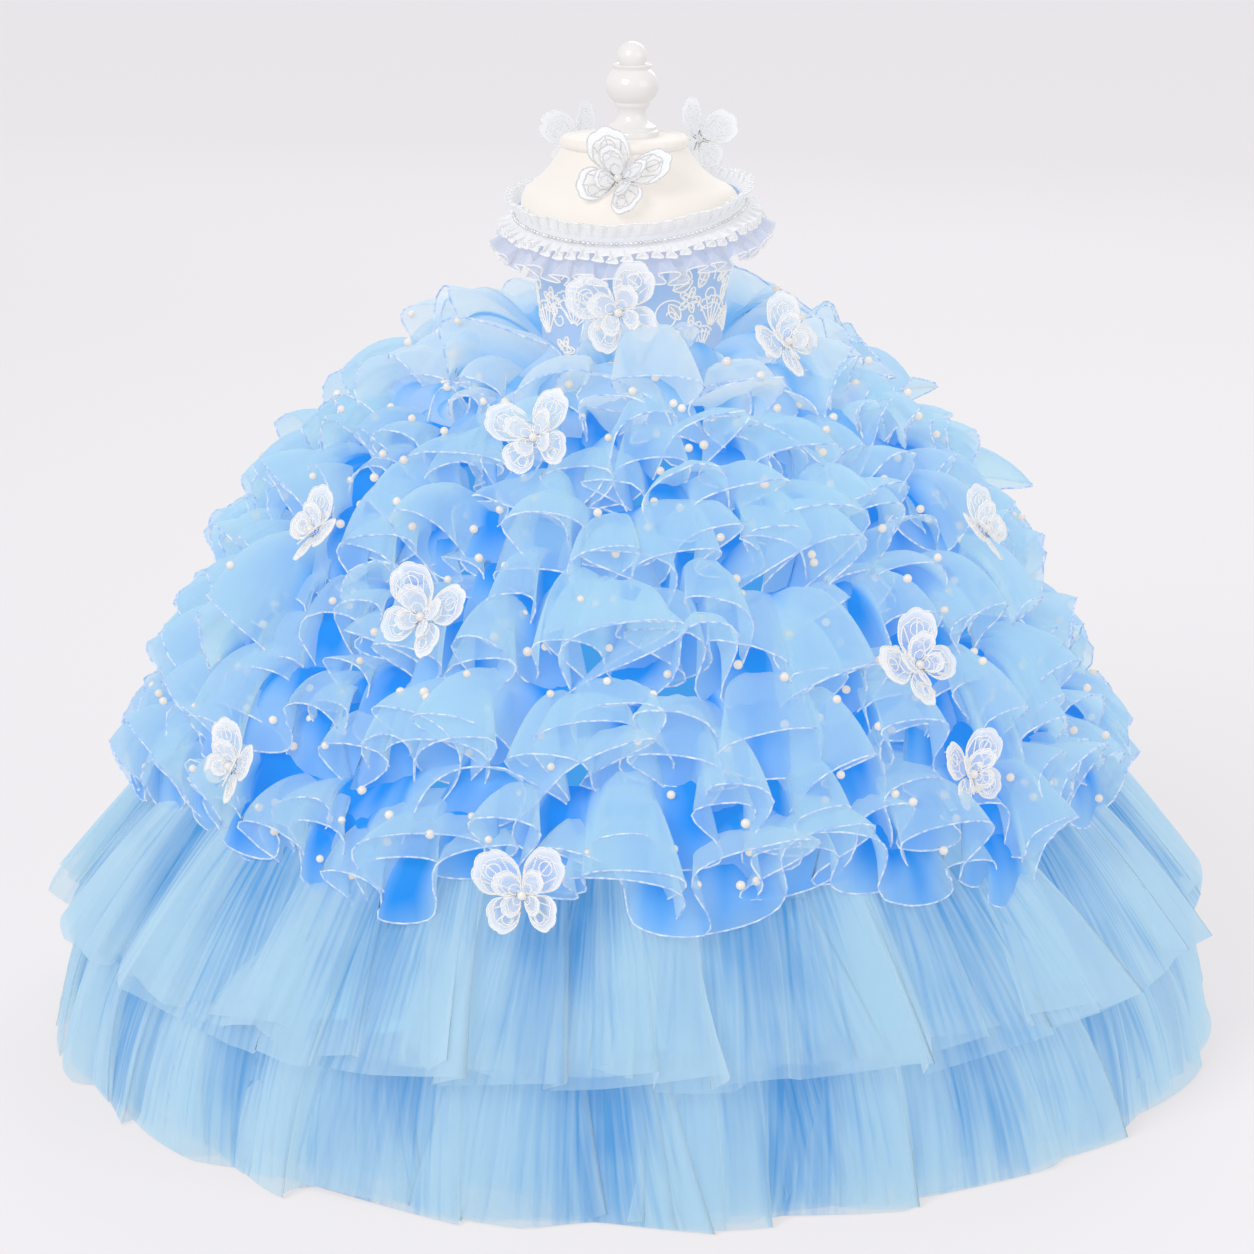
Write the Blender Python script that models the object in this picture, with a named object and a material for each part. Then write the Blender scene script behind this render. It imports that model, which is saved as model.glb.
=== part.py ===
"""A ball-gown dog dress on a limbless dress form.

The dress is a satin bodice with three gathered neck frills, an underskirt that carries six organza
ruffles and two pleated tulle tiers, and lace butterflies. The form is a padded bust with a turned
finial, on a post and a round foot.

The front faces -Y and +Z is up. The origin is the centre of the foot's underside, on the floor.
Sizes are written in millimetres and become metres where a mesh is made. A turn is an angle about
the upright axis, 0 at the front and a quarter turn at +X.
"""

import math
from collections import namedtuple

import bmesh
import bpy
from mathutils import Matrix, Vector
from mathutils.bvhtree import BVHTree

MM = 0.001
FULL_TURN = 2 * math.pi
SEAM_GAP = 0.3
CLOTH = 1.6
LACE = 1.4

# Colours as linear RGB, with roughness and metallic
Finish = namedtuple("Finish", "red green blue roughness metallic")
FINISHES = {
    "satin": Finish(0.31, 0.48, 0.80, 0.38, 0.0),
    "organza": Finish(0.30, 0.62, 0.97, 0.45, 0.0),
    "tulle": Finish(0.40, 0.69, 0.90, 0.80, 0.0),
    "lining": Finish(0.30, 0.60, 0.85, 0.70, 0.0),
    "white_organza": Finish(0.86, 0.89, 0.96, 0.45, 0.0),
    "lace": Finish(0.90, 0.91, 0.94, 0.75, 0.0),
    "form_cloth": Finish(0.92, 0.89, 0.85, 0.90, 0.0),
    "white_gloss": Finish(0.90, 0.89, 0.89, 0.20, 0.0),
    "steel": Finish(0.85, 0.85, 0.86, 0.45, 0.0),
}

# The bust: level above the floor, half its width and depth there, and how far it leans to one side
Level = namedtuple("Level", "z half_width half_depth lean")
BUST = [
    Level(384.0, 36.0, 35.0, 0.0),
    Level(390.0, 46.0, 44.0, 0.0),
    Level(402.0, 51.0, 48.5, 0.0),
    Level(420.0, 51.7, 49.5, 0.2),
    Level(441.0, 53.4, 51.0, 0.2),
    Level(468.0, 56.5, 54.0, 0.0),
    Level(488.0, 62.0, 59.5, -0.5),
    Level(503.0, 66.2, 63.5, -1.0),
    Level(514.5, 63.5, 60.5, -1.6),
    Level(519.0, 54.5, 53.0, -3.6),
    Level(528.0, 44.5, 44.0, -4.6),
    Level(539.5, 37.0, 37.0, -4.6),
    Level(541.0, 38.4, 38.4, -4.6),
    Level(545.0, 38.4, 38.4, -4.6),
    Level(546.0, 36.8, 36.8, -4.6),
]
BUST_SIDES = 32

# The finial and its cap, turned in one piece: radius and level of each edge of the profile
FINIAL_SEAT = BUST[-1].z + SEAM_GAP
BALL_RADIUS = 8.9
BALL_CENTRE = 593.0
BOWL_RADIUS = 15.9
BOWL_CENTRE = 577.0
BOWL_HALF_HEIGHT = 13.0
Edge = namedtuple("Edge", "radius z")
FINIAL_COLLAR = [Edge(11.7, 588.6), Edge(11.7, 587.2)]
FINIAL_STEM = [
    Edge(10.6, 565.8),
    Edge(10.6, 564.4),
    Edge(8.6, 562.0),
    Edge(8.2, 558.5),
    Edge(9.8, 554.6),
    Edge(14.2, 551.8),
    Edge(14.2, 549.6),
    Edge(15.9, 549.2),
    Edge(15.9, FINIAL_SEAT),
]
FINIAL_SIDES = 18

FOOT_RADIUS = 110.0
FOOT_HEIGHT = 10.0
FOOT_ROUND = 3.0
FOOT_SIDES = 36
POST_RADIUS = 11.0
POST_SIDES = 16

# The bodice covers the bust from the waist to the neckline
WAIST = 419.0
BODICE_LEVELS = [WAIST, 441.0, 468.0, 488.0]
BODICE_HALF_WIDTH = 52.0
BODICE_EASE = 0.4
BODICE_OUTWARD = SEAM_GAP + BODICE_EASE + CLOTH / 2
FRILL_OUTWARD = BODICE_OUTWARD + CLOTH + SEAM_GAP + 0.2
BUST_WIDEST = 503.0
TOP_BAND = 3.0
NECK_MEAN = 505.5
NECK_RISE_TO_BACK = 6.5
NECK_SIDE_LIFT = 2.5
NECK_SLANT = 4.5

# The underskirt hangs from the waist seam, where it has the bodice's outline, and its rows are the
# turning points of its bell
WAIST_SEAM_DROP = 1.1
# How far a flat stretch between two of a strip's columns may lie inside the bell's roundness
FLAT_STRETCH = 0.15
Bell = namedtuple("Bell", "radius z")
UNDERSKIRT = [
    Bell(53.0, WAIST - WAIST_SEAM_DROP),
    Bell(72.0, 409.0),
    Bell(106.0, 384.0),
    Bell(154.0, 336.0),
    Bell(197.0, 281.0),
    Bell(233.0, 220.0),
    Bell(266.0, 150.0),
    Bell(316.0, 6.0),
]
UNDERSKIRT_SIDES = 36

# Each flounce is gathered to the underskirt at its seam level, goes out to a bend and down to its edge.
# Its waves have a count, a half height across the cloth at the edge, a sway along it, and a crowding
# that makes them narrow here and wide there.
Flounce = namedtuple(
    "Flounce",
    "name seam bend_radius bend_z edge_radius edge_z waves depth sway crowding seed finish",
)
FLOUNCES = [
    Flounce("ruffle_1", 408.0, 111.0, 435.0, 138.0, 415.0, 13, 16.0, 4.5, 0.5, 0.4, "organza"),
    Flounce("ruffle_2", 384.0, 147.0, 404.0, 175.0, 379.0, 17, 18.0, 5.0, 0.65, 1.9, "organza"),
    Flounce("ruffle_3", 348.0, 185.0, 366.0, 214.0, 336.0, 20, 19.0, 5.5, 0.8, 3.1, "organza"),
    Flounce("ruffle_4", 304.0, 219.0, 320.0, 248.0, 286.0, 22, 19.0, 5.5, 0.8, 4.6, "organza"),
    Flounce("ruffle_5", 256.0, 250.0, 268.0, 279.0, 234.0, 23, 18.0, 5.5, 0.8, 5.2, "organza"),
    Flounce("ruffle_6", 210.0, 279.0, 214.0, 304.0, 184.0, 23, 14.0, 5.5, 0.8, 0.9, "organza"),
    Flounce("tulle_upper", 190.0, 289.0, 160.0, 348.0, 88.0, 18, 9.0, 0.0, 0.0, 1.3, "tulle"),
    Flounce("tulle_lower", 146.0, 326.0, 86.0, 352.0, 2.6, 20, 7.0, 0.0, 0.0, 3.7, "tulle"),
]
COLUMNS_PER_WAVE = 5
INVERSE_STEPS = 80
HEM_WANDER = 14.0

# Each neck frill starts below the neckline and leaves the bodice outward and up or down
Frill = namedtuple("Frill", "name drop outward upward width waves depth seed finish")
FRILLS = [
    Frill("frill_standing_lace", 2.0, 0.42, 0.91, 10.0, 14, 1.8, 0.7, "lace"),
    Frill("frill_short_lace", 7.0, 0.92, -0.39, 13.0, 14, 2.4, 2.2, "lace"),
    Frill("frill_organza", 11.5, 0.62, -0.78, 27.0, 16, 5.5, 4.1, "white_organza"),
]
FRILL_COLUMNS_PER_WAVE = 4

# Half of a butterfly's outline: the angle from its right side and the reach as a share of its span
Reach = namedtuple("Reach", "degrees share")
WING_OUTLINE = [
    Reach(80.0, 0.20),
    Reach(64.0, 0.44),
    Reach(50.0, 0.52),
    Reach(34.0, 0.50),
    Reach(20.0, 0.36),
    Reach(3.0, 0.22),
    Reach(-16.0, 0.30),
    Reach(-38.0, 0.36),
    Reach(-58.0, 0.38),
    Reach(-75.0, 0.26),
]
BODY_TOP = Reach(90.0, 0.12)
BODY_BOTTOM = Reach(-90.0, 0.14)
# The gaps in the lace of one side, each a four-sided hole: its centre and its half sizes
Gap = namedtuple("Gap", "across up half_length half_width slant")
WING_GAPS = [
    Gap(0.245, 0.235, 0.100, 0.055, 48.0),
    Gap(0.155, -0.165, 0.072, 0.046, -48.0),
]
WING_RISE = 0.38

# Where each butterfly lies: the turn, level and distance from the axis of its centre before it is
# seated on the cloth, how far it looks up, its roll and its span
Butterfly = namedtuple("Butterfly", "name turn z radius tilt roll span")
BUTTERFLIES = [
    Butterfly("butterfly_chest", -9.0, 524.0, 48.0, 38.0, -24.0, 55.0),
    Butterfly("butterfly_bodice", -4.0, 460.0, 62.0, 0.0, 18.0, 54.0),
    Butterfly("butterfly_back_left", -140.0, 537.0, 46.0, 0.0, -8.0, 44.0),
    Butterfly("butterfly_back_right", 142.0, 537.0, 50.0, 0.0, 14.0, 44.0),
    Butterfly("butterfly_skirt_1", -17.0, 395.0, 178.0, 30.0, 20.0, 50.0),
    Butterfly("butterfly_skirt_2", 46.0, 440.0, 129.0, 25.0, 38.0, 48.0),
    Butterfly("butterfly_skirt_3", -28.0, 307.0, 247.0, 25.0, -18.0, 52.0),
    Butterfly("butterfly_skirt_4", 37.0, 278.0, 265.0, 25.0, 36.0, 52.0),
    Butterfly("butterfly_skirt_5", 41.0, 218.0, 296.0, 12.0, 8.0, 46.0),
    Butterfly("butterfly_skirt_6", -10.5, 177.0, 313.0, 12.0, 6.0, 52.0),
    Butterfly("butterfly_skirt_7", -51.0, 212.0, 299.0, 15.0, -24.0, 46.0),
    Butterfly("butterfly_skirt_8", -57.0, 338.0, 228.0, 30.0, -40.0, 44.0),
    Butterfly("butterfly_skirt_9", 62.0, 332.0, 233.0, 30.0, 30.0, 44.0),
]
# While it is seated, a butterfly is thicker by a seam's gap on each side and a little wider as well
SEAT_SPREAD = 1.015
SEAT_REACH = 60.0
SEAT_STEP = 2.0
SEAT_HALVINGS = 7


def clear_scene():
    for old in list(bpy.data.objects):
        bpy.data.objects.remove(old, do_unlink=True)


def material(name):
    made = bpy.data.materials.get(name)
    if made is None:
        finish = FINISHES[name]
        made = bpy.data.materials.new(name)
        made.use_nodes = True
        shader = made.node_tree.nodes["Principled BSDF"]
        shader.inputs["Base Color"].default_value = (finish.red, finish.green, finish.blue, 1.0)
        shader.inputs["Roughness"].default_value = finish.roughness
        shader.inputs["Metallic"].default_value = finish.metallic
    return made


def add_object(name, mesh, finish, parent):
    made = bpy.data.objects.new(name, mesh)
    mesh.materials.append(material(finish))
    bpy.context.scene.collection.objects.link(made)
    made.parent = parent
    return made


def add_empty(name):
    made = bpy.data.objects.new(name, None)
    bpy.context.scene.collection.objects.link(made)
    return made


def thicken(obj, thickness):
    """A wall this thick, half of it on each side of the object's sheet."""
    wall = obj.modifiers.new("wall", "SOLIDIFY")
    wall.thickness = thickness * MM
    wall.offset = 0.0
    wall.use_rim = True


def between(rows, z):
    """The row of a table with z at this level, each of its numbers read off straight lines."""
    ordered = sorted(rows, key=lambda row: row.z)
    z_inside = min(max(z, ordered[0].z), ordered[-1].z)
    for low, high in zip(ordered, ordered[1:]):
        if z_inside <= high.z:
            share = (z_inside - low.z) / (high.z - low.z)
            return type(low)(*[a + (b - a) * share for a, b in zip(low, high)])
    return ordered[-1]


def neckline(turn):
    """The level of the bodice's top edge, low at the front and a little higher at one shoulder."""
    rise = -NECK_RISE_TO_BACK * math.cos(turn) - NECK_SIDE_LIFT * math.cos(2 * turn)
    return NECK_MEAN + rise + NECK_SLANT * math.sin(turn)


def on_bust(turn, z, outward):
    """A point this far outside the bust."""
    level = between(BUST, z)
    return Vector((
        (level.half_width + outward) * math.sin(turn) + level.lean,
        -(level.half_depth + outward) * math.cos(turn),
        z,
    ))


def on_circle(turn, radius, z):
    return Vector((radius * math.sin(turn), -radius * math.cos(turn), z))


def drift(turn, seed, crowding=0.0):
    """How far the waves of a gathered strip run ahead of an even spacing."""
    slow = 0.9 * math.sin(2 * turn + seed) + 0.6 * math.sin(3 * turn + 2.1 * seed)
    return slow + crowding * (0.9 * math.sin(7 * turn + 1.3 * seed) + 0.6 * math.sin(11 * turn + 2.7 * seed))


def swell(turn):
    """A slow rise and fall that all ruffles share, so that they lie in one another."""
    return 6.0 * math.sin(3 * turn + 0.8) + 4.0 * math.sin(5 * turn + 2.0)


def fullness(turn, seed):
    """How much deeper or flatter than the mean a wave is here."""
    return 1.0 + 0.15 * math.sin(5 * turn + 1.7 * seed) + 0.1 * math.sin(7 * turn + 3.1 * seed)


def lean(turn, seed):
    """How far the waves lean to one side, as a share of their height."""
    return 0.5 * math.sin(6 * turn + 2.3 * seed) + 0.4 * math.sin(10 * turn + seed)


def phase_at(turn, waves, seed, crowding=0.0):
    return waves * turn + drift(turn, seed, crowding)


def wave_turns(waves, columns_per_wave, seed, crowding=0.0):
    """Turns at which the waves' crests, troughs and slopes lie, crest and trough always among them."""
    turns = []
    for column in range(waves * columns_per_wave):
        phase = FULL_TURN * (column + 0.5) / columns_per_wave
        turn = phase / waves
        for _ in range(INVERSE_STEPS):
            turn = (phase - drift(turn, seed, crowding)) / waves
        turns.append(turn)
    return turns


def ring_sheet(name, turns, rows, point, finish, parent, closed=True):
    """A sheet round the axis: point(turn, row) gives its middle surface, and Solidify its wall."""
    mesh = bpy.data.meshes.new(name)
    vertices = [point(turn, row) * MM for row in rows for turn in turns]
    count = len(turns)
    faces = []
    for row in range(len(rows) - 1):
        for column in range(count if closed else count - 1):
            beside = (column + 1) % count
            low = row * count
            high = low + count
            faces.append((low + column, low + beside, high + beside, high + column))
    mesh.from_pydata(vertices, [], faces)
    mesh.update()
    made = add_object(name, mesh, finish, parent)
    thicken(made, CLOTH)
    mesh.shade_smooth()
    return made


def rings_solid(name, rings, finish, parent):
    """A closed solid through rings of points, with flat ends."""
    bm = bmesh.new()
    loops = [[bm.verts.new(point * MM) for point in ring] for ring in rings]
    for below, above in zip(loops, loops[1:]):
        for column in range(len(below)):
            beside = (column + 1) % len(below)
            bm.faces.new((below[column], below[beside], above[beside], above[column]))
    bm.faces.new(list(reversed(loops[0])))
    bm.faces.new(loops[-1])
    bmesh.ops.recalc_face_normals(bm, faces=bm.faces)
    mesh = bpy.data.meshes.new(name)
    bm.to_mesh(mesh)
    bm.free()
    made = add_object(name, mesh, finish, parent)
    mesh.shade_smooth()
    mesh.set_sharp_from_angle(angle=math.radians(50))
    return made


def turned(name, profile, sides, finish, parent):
    """A turned piece from its outer profile, top to bottom, which starts and ends on the axis."""
    mesh = bpy.data.meshes.new(name)
    vertices = [(edge.radius * MM, 0.0, edge.z * MM) for edge in profile]
    mesh.from_pydata(vertices, [(i, i + 1) for i in range(len(vertices) - 1)], [])
    made = add_object(name, mesh, finish, parent)
    lathe = made.modifiers.new("lathe", "SCREW")
    lathe.axis = "Z"
    lathe.angle = FULL_TURN
    lathe.steps = sides
    lathe.render_steps = sides
    lathe.use_merge_vertices = True
    lathe.merge_threshold = 0.00005
    lathe.use_smooth_shade = True
    return made


def make_bust(parent):
    turns = [FULL_TURN * side / BUST_SIDES for side in range(BUST_SIDES)]
    rings = [[on_bust(turn, level.z, 0.0) for turn in turns] for level in BUST]
    return rings_solid("form_bust", rings, "form_cloth", parent)


def make_finial(parent):
    ball = []
    for step in range(6):
        angle = math.radians(90 - 24 * step)
        ball.append(Edge(BALL_RADIUS * math.cos(angle), BALL_CENTRE + BALL_RADIUS * math.sin(angle)))
    ball[0] = Edge(0.0, ball[0].z)
    bowl = []
    for step in range(7):
        angle = math.radians(48 - 16 * step)
        z = BOWL_CENTRE - 1.0 + BOWL_HALF_HEIGHT * math.sin(angle)
        bowl.append(Edge(BOWL_RADIUS * math.cos(angle), z))
    profile = ball + FINIAL_COLLAR + bowl + FINIAL_STEM + [Edge(0.0, FINIAL_SEAT)]
    return turned("form_finial", profile, FINIAL_SIDES, "white_gloss", parent)


def make_stand(parent):
    foot = [
        Edge(0.0, FOOT_HEIGHT),
        Edge(FOOT_RADIUS - FOOT_ROUND, FOOT_HEIGHT),
        Edge(FOOT_RADIUS, FOOT_HEIGHT - FOOT_ROUND),
        Edge(FOOT_RADIUS, 0.0),
        Edge(0.0, 0.0),
    ]
    turned("stand_foot", foot, FOOT_SIDES, "steel", parent)
    turns = [FULL_TURN * side / POST_SIDES for side in range(POST_SIDES)]
    ends = (FOOT_HEIGHT + SEAM_GAP, BUST[0].z - SEAM_GAP)
    rings = [[on_circle(turn, POST_RADIUS, z) for turn in turns] for z in ends]
    rings_solid("stand_post", rings, "steel", parent)


def bodice_levels(turn):
    """The levels of the bodice's rows: the top two follow the neckline over the bust's widest ring."""
    top = neckline(turn)
    return BODICE_LEVELS + [min(BUST_WIDEST, top - TOP_BAND), top]


def make_bodice(parent):
    """Two panels, from side seam to side seam, a seam's gap outside the bust."""
    rows = range(len(BODICE_LEVELS) + 2)
    seam_half_turn = (SEAM_GAP / 2 + 0.05) / BODICE_HALF_WIDTH
    half = BUST_SIDES // 2
    for name, middle in (("bodice_front", 0.0), ("bodice_back", math.pi)):
        turns = [middle + math.pi * (column / half - 0.5) for column in range(half + 1)]
        turns[0] += seam_half_turn
        turns[-1] -= seam_half_turn
        ring_sheet(
            name,
            turns,
            rows,
            lambda turn, row: on_bust(turn, bodice_levels(turn)[row], BODICE_OUTWARD),
            "satin",
            parent,
            closed=False,
        )


def frill_rows(frill):
    """The sheet function of one neck frill: it waves more towards its free edge."""

    def point(turn, row):
        lift = row * frill.depth * math.sin(phase_at(turn, frill.waves, frill.seed))
        out = FRILL_OUTWARD + row * frill.width * frill.outward - lift * frill.upward
        z = neckline(turn) - frill.drop
        base = on_bust(turn, z, out)
        base.z = z + row * frill.width * frill.upward + lift * frill.outward
        return base

    return point


def make_frills(parent):
    for frill in FRILLS:
        turns = wave_turns(frill.waves, FRILL_COLUMNS_PER_WAVE, frill.seed)
        ring_sheet(frill.name, turns, (0.0, 1.0), frill_rows(frill), frill.finish, parent)


def make_underskirt(parent):
    turns = [FULL_TURN * side / UNDERSKIRT_SIDES for side in range(UNDERSKIRT_SIDES)]

    def point(turn, row):
        if row is UNDERSKIRT[0]:
            return on_bust(turn, row.z, BODICE_OUTWARD)
        return on_circle(turn, row.radius, row.z)

    ring_sheet("underskirt", turns, UNDERSKIRT, point, "lining", parent)


def seam_start(z, direction):
    """Where a strip's middle surface starts, so that its end clears the underskirt by the seam gap."""
    here = between(UNDERSKIRT, z)
    below = between(UNDERSKIRT, z - 1.0)
    slope = Vector((below.radius - here.radius, -1.0)).normalized()
    outward = Vector((-slope.y, slope.x))
    across = Vector((-direction.y, direction.x))
    away = CLOTH / 2 + SEAM_GAP + abs(outward.dot(across)) * CLOTH / 2 + FLAT_STRETCH
    return Vector((here.radius, here.z)) + outward * away


def flounce_rows(flounce):
    """The sheet function of one flounce: its waves grow evenly from the seam to the edge."""
    bend = Vector((flounce.bend_radius, flounce.bend_z))
    edge = Vector((flounce.edge_radius, flounce.edge_z))
    seam = between(UNDERSKIRT, flounce.seam)
    start = seam_start(flounce.seam, (bend - Vector((seam.radius, seam.z))).normalized())
    first_leg = (bend - start).normalized()
    last_leg = (edge - bend).normalized()
    along = {0.0: first_leg, 0.5: (first_leg + last_leg).normalized(), 1.0: last_leg}
    middle_line = {0.0: start, 0.5: bend, 1.0: edge}
    is_tulle = flounce.finish == "tulle"

    def point(turn, row):
        phase = phase_at(turn, flounce.waves, flounce.seed, flounce.crowding)
        lift = row * flounce.depth * fullness(turn, flounce.seed) * math.sin(phase)
        slide = -row * flounce.sway * math.sin(2 * phase)
        place = middle_line[row].copy()
        if is_tulle and row == 1.0:
            place.y += max(0.0, HEM_WANDER * math.sin(4 * turn + flounce.seed) * math.sin(phase))
        if not is_tulle:
            slide += lift * lean(turn, flounce.seed)
            lift += row * swell(turn)
        place += Vector((-along[row].y, along[row].x)) * lift
        return on_circle(turn + slide / place.x, place.x, max(place.y, FLOUNCES[-1].edge_z))

    return point


def make_flounces(parent):
    for flounce in FLOUNCES:
        turns = wave_turns(flounce.waves, COLUMNS_PER_WAVE, flounce.seed, flounce.crowding)
        ring_sheet(flounce.name, turns, (0.0, 0.5, 1.0), flounce_rows(flounce), flounce.finish, parent)


def butterfly_loops(span):
    """The outline and the lace gaps of a flat butterfly, as loops of points in its own plane."""
    right = [(reach.degrees, reach.share) for reach in WING_OUTLINE]
    left = [(180.0 - degrees, share) for degrees, share in reversed(right)]
    around = [BODY_TOP] + right + [BODY_BOTTOM] + left
    outline = []
    for degrees, share in around:
        angle = math.radians(degrees)
        outline.append(Vector((math.cos(angle) * share * span, math.sin(angle) * share * span, 0.0)))
    loops = [outline]
    for side in (1, -1):
        for gap in WING_GAPS:
            slant = math.radians(gap.slant)
            long_way = Vector((math.cos(slant), math.sin(slant), 0.0)) * gap.half_length
            short_way = Vector((-math.sin(slant), math.cos(slant), 0.0)) * gap.half_width
            centre = Vector((gap.across, gap.up, 0.0))
            corners = [centre + way for way in (long_way, short_way, -long_way, -short_way)]
            loops.append([Vector((corner.x * side, corner.y, 0.0)) * span for corner in corners])
    return loops


def butterfly_mesh(name, span):
    """The flat lace filled round its gaps, with the wings raised from the body in a shallow V."""
    bm = bmesh.new()
    edges = []
    for loop in butterfly_loops(span):
        corners = [bm.verts.new(point) for point in loop]
        edges += [bm.edges.new((a, b)) for a, b in zip(corners, corners[1:] + corners[:1])]
    bmesh.ops.triangle_fill(bm, use_beauty=True, edges=edges, normal=(0.0, 0.0, 1.0))
    for vertex in bm.verts:
        vertex.co.z = WING_RISE * abs(vertex.co.x)
        vertex.co *= MM
    bmesh.ops.recalc_face_normals(bm, faces=bm.faces)
    mesh = bpy.data.meshes.new(name)
    bm.to_mesh(mesh)
    bm.free()
    return mesh


def facing(turn, tilt, roll):
    """The turn that lays the butterfly's plane square to this direction, its body upright but rolled."""
    upright = Matrix.Rotation(math.radians(90.0), 4, "X")
    lean = Matrix.Rotation(-math.radians(tilt), 4, "X")
    return Matrix.Rotation(turn, 4, "Z") @ lean @ upright @ Matrix.Rotation(math.radians(roll), 4, "Z")


def solid_tree(obj):
    """The search tree of an object's solid, with its wall on."""
    shape = obj.evaluated_get(bpy.context.evaluated_depsgraph_get())
    mesh = shape.to_mesh()
    mesh.calc_loop_triangles()
    points = [obj.matrix_world @ vertex.co for vertex in mesh.vertices]
    tree = BVHTree.FromPolygons(points, [tuple(face.vertices) for face in mesh.loop_triangles])
    shape.to_mesh_clear()
    return tree


def seat(butterfly, obj, others):
    """Moves the butterfly in along the way it faces, until it lies a seam's gap off what carries it."""
    turn = math.radians(butterfly.turn)
    tilt = math.radians(butterfly.tilt)
    look = Vector((math.sin(turn) * math.cos(tilt), -math.cos(turn) * math.cos(tilt), math.sin(tilt)))
    centre = on_circle(turn, butterfly.radius, butterfly.z)
    turned_to = facing(turn, butterfly.tilt, butterfly.roll)
    wall = obj.modifiers["wall"]
    wall.thickness = (LACE + 2 * SEAM_GAP) * MM

    def touches(distance, spread=SEAT_SPREAD):
        place = Matrix.Translation((centre + look * distance) * MM)
        obj.matrix_world = place @ turned_to @ Matrix.Scale(spread, 4)
        bpy.context.view_layer.update()
        tree = solid_tree(obj)
        return any(tree.overlap(other) for other in others)

    inside = SEAT_REACH
    while inside > -SEAT_REACH and not touches(inside):
        inside -= SEAT_STEP
    clear = inside + SEAT_STEP
    for _ in range(SEAT_HALVINGS):
        middle = (clear + inside) / 2
        if touches(middle):
            inside = middle
        else:
            clear = middle
    touches(clear, spread=1.0)
    wall.thickness = LACE * MM


def make_butterflies(parent):
    bpy.context.view_layer.update()
    others = [solid_tree(obj) for obj in bpy.context.scene.objects if obj.type == "MESH"]
    for butterfly in BUTTERFLIES:
        made = add_object(butterfly.name, butterfly_mesh(butterfly.name, butterfly.span), "lace", parent)
        thicken(made, LACE)
        seat(butterfly, made, others)
        others.append(solid_tree(made))


def main():
    clear_scene()
    form = add_empty("dress_form")
    dress = add_empty("dress")
    make_bust(form)
    make_finial(form)
    make_stand(form)
    make_bodice(dress)
    make_frills(dress)
    make_underskirt(dress)
    make_flounces(dress)
    make_butterflies(dress)


main()
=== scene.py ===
# %% [markdown]
# # A ball-gown dog dress on a dress form
# The dress is made the way its maker sews it: a satin bodice with corded lace, three gathered frills
# round the neck, an underskirt, six ruffles of organza in four plies with corded edges, two tiers of
# pleated net, lace butterflies and pearls. It stands on a padded bust with a turned finial.
# Every piece is built around the imported model, in metres, with the front at -Y.

# %% Load the model
import math
from collections import namedtuple

import bpy
import numpy as np
from mathutils import Matrix, Vector


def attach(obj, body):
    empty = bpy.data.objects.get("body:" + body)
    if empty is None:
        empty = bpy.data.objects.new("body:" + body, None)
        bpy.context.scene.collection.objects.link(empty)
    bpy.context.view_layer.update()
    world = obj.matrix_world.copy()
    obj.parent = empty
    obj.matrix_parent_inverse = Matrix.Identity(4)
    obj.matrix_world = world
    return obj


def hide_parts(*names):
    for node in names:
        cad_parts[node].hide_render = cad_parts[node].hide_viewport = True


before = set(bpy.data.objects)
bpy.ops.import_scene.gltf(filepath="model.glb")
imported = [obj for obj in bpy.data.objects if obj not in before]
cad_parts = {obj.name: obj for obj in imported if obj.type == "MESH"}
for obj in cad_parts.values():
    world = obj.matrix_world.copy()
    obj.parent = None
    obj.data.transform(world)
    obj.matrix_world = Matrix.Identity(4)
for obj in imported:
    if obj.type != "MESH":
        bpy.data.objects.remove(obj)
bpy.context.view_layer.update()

MM = 0.001
FULL_TURN = 2 * math.pi
ROOT = "root"

# %% [markdown]
# ## Camera, floor and light
# The photograph looks a little down on the dress with a long lens. The studio is white and so soft that
# only the folds themselves make shade, so most of the light comes from the world, and three wide lamps
# add a direction to it. Light that has bounced once is taken from the sky and not followed further, which
# keeps the many see-through layers quick. The plain view transform keeps the cloth's clear blue.

# %% Camera
CAMERA_PLACE = (-0.003067, -2.27, 0.85)
CAMERA_PITCH = 14.95
CAMERA_LENS = 109.75

camera = bpy.data.objects.new("camera", bpy.data.cameras.new("camera"))
camera.location = CAMERA_PLACE
camera.rotation_euler = (math.radians(90 - CAMERA_PITCH), 0.0, 0.0)
camera.data.lens = CAMERA_LENS
camera.data.sensor_width = 36.0
bpy.context.scene.collection.objects.link(camera)
bpy.context.scene.camera = camera
print("camera", CAMERA_PLACE, "lens", CAMERA_LENS)

# %% Helpers for trees of nodes


def plug(tree, socket, value):
    """Gives an input its value, or links it to another node's output."""
    if isinstance(value, bpy.types.NodeSocket):
        tree.links.new(value, socket)
    else:
        socket.default_value = value


def add(tree, kind, inputs=None, **settings):
    """A new node with its settings, and its inputs as values or outputs."""
    made = tree.nodes.new(kind)
    for key, value in settings.items():
        setattr(made, key, value)
    for key, value in (inputs or {}).items():
        plug(tree, made.inputs[key], value)
    return made


def calc(tree, operation, *values, clamp=False):
    """The output of a Math node."""
    made = add(tree, "ShaderNodeMath", operation=operation, use_clamp=clamp)
    for socket, value in zip(made.inputs, values):
        plug(tree, socket, value)
    return made.outputs[0]


def product(tree, *values):
    """The output of a chain of Multiply nodes."""
    total = values[0]
    for value in values[1:]:
        total = calc(tree, "MULTIPLY", total, value)
    return total


def blend_colours(tree, share, first, second):
    """A colour between two, by a share from 0 to 1."""
    made = add(tree, "ShaderNodeMix", data_type="RGBA")
    for socket, value in ((0, share), (6, first), (7, second)):
        plug(tree, made.inputs[socket], value)
    return made.outputs[2]


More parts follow.
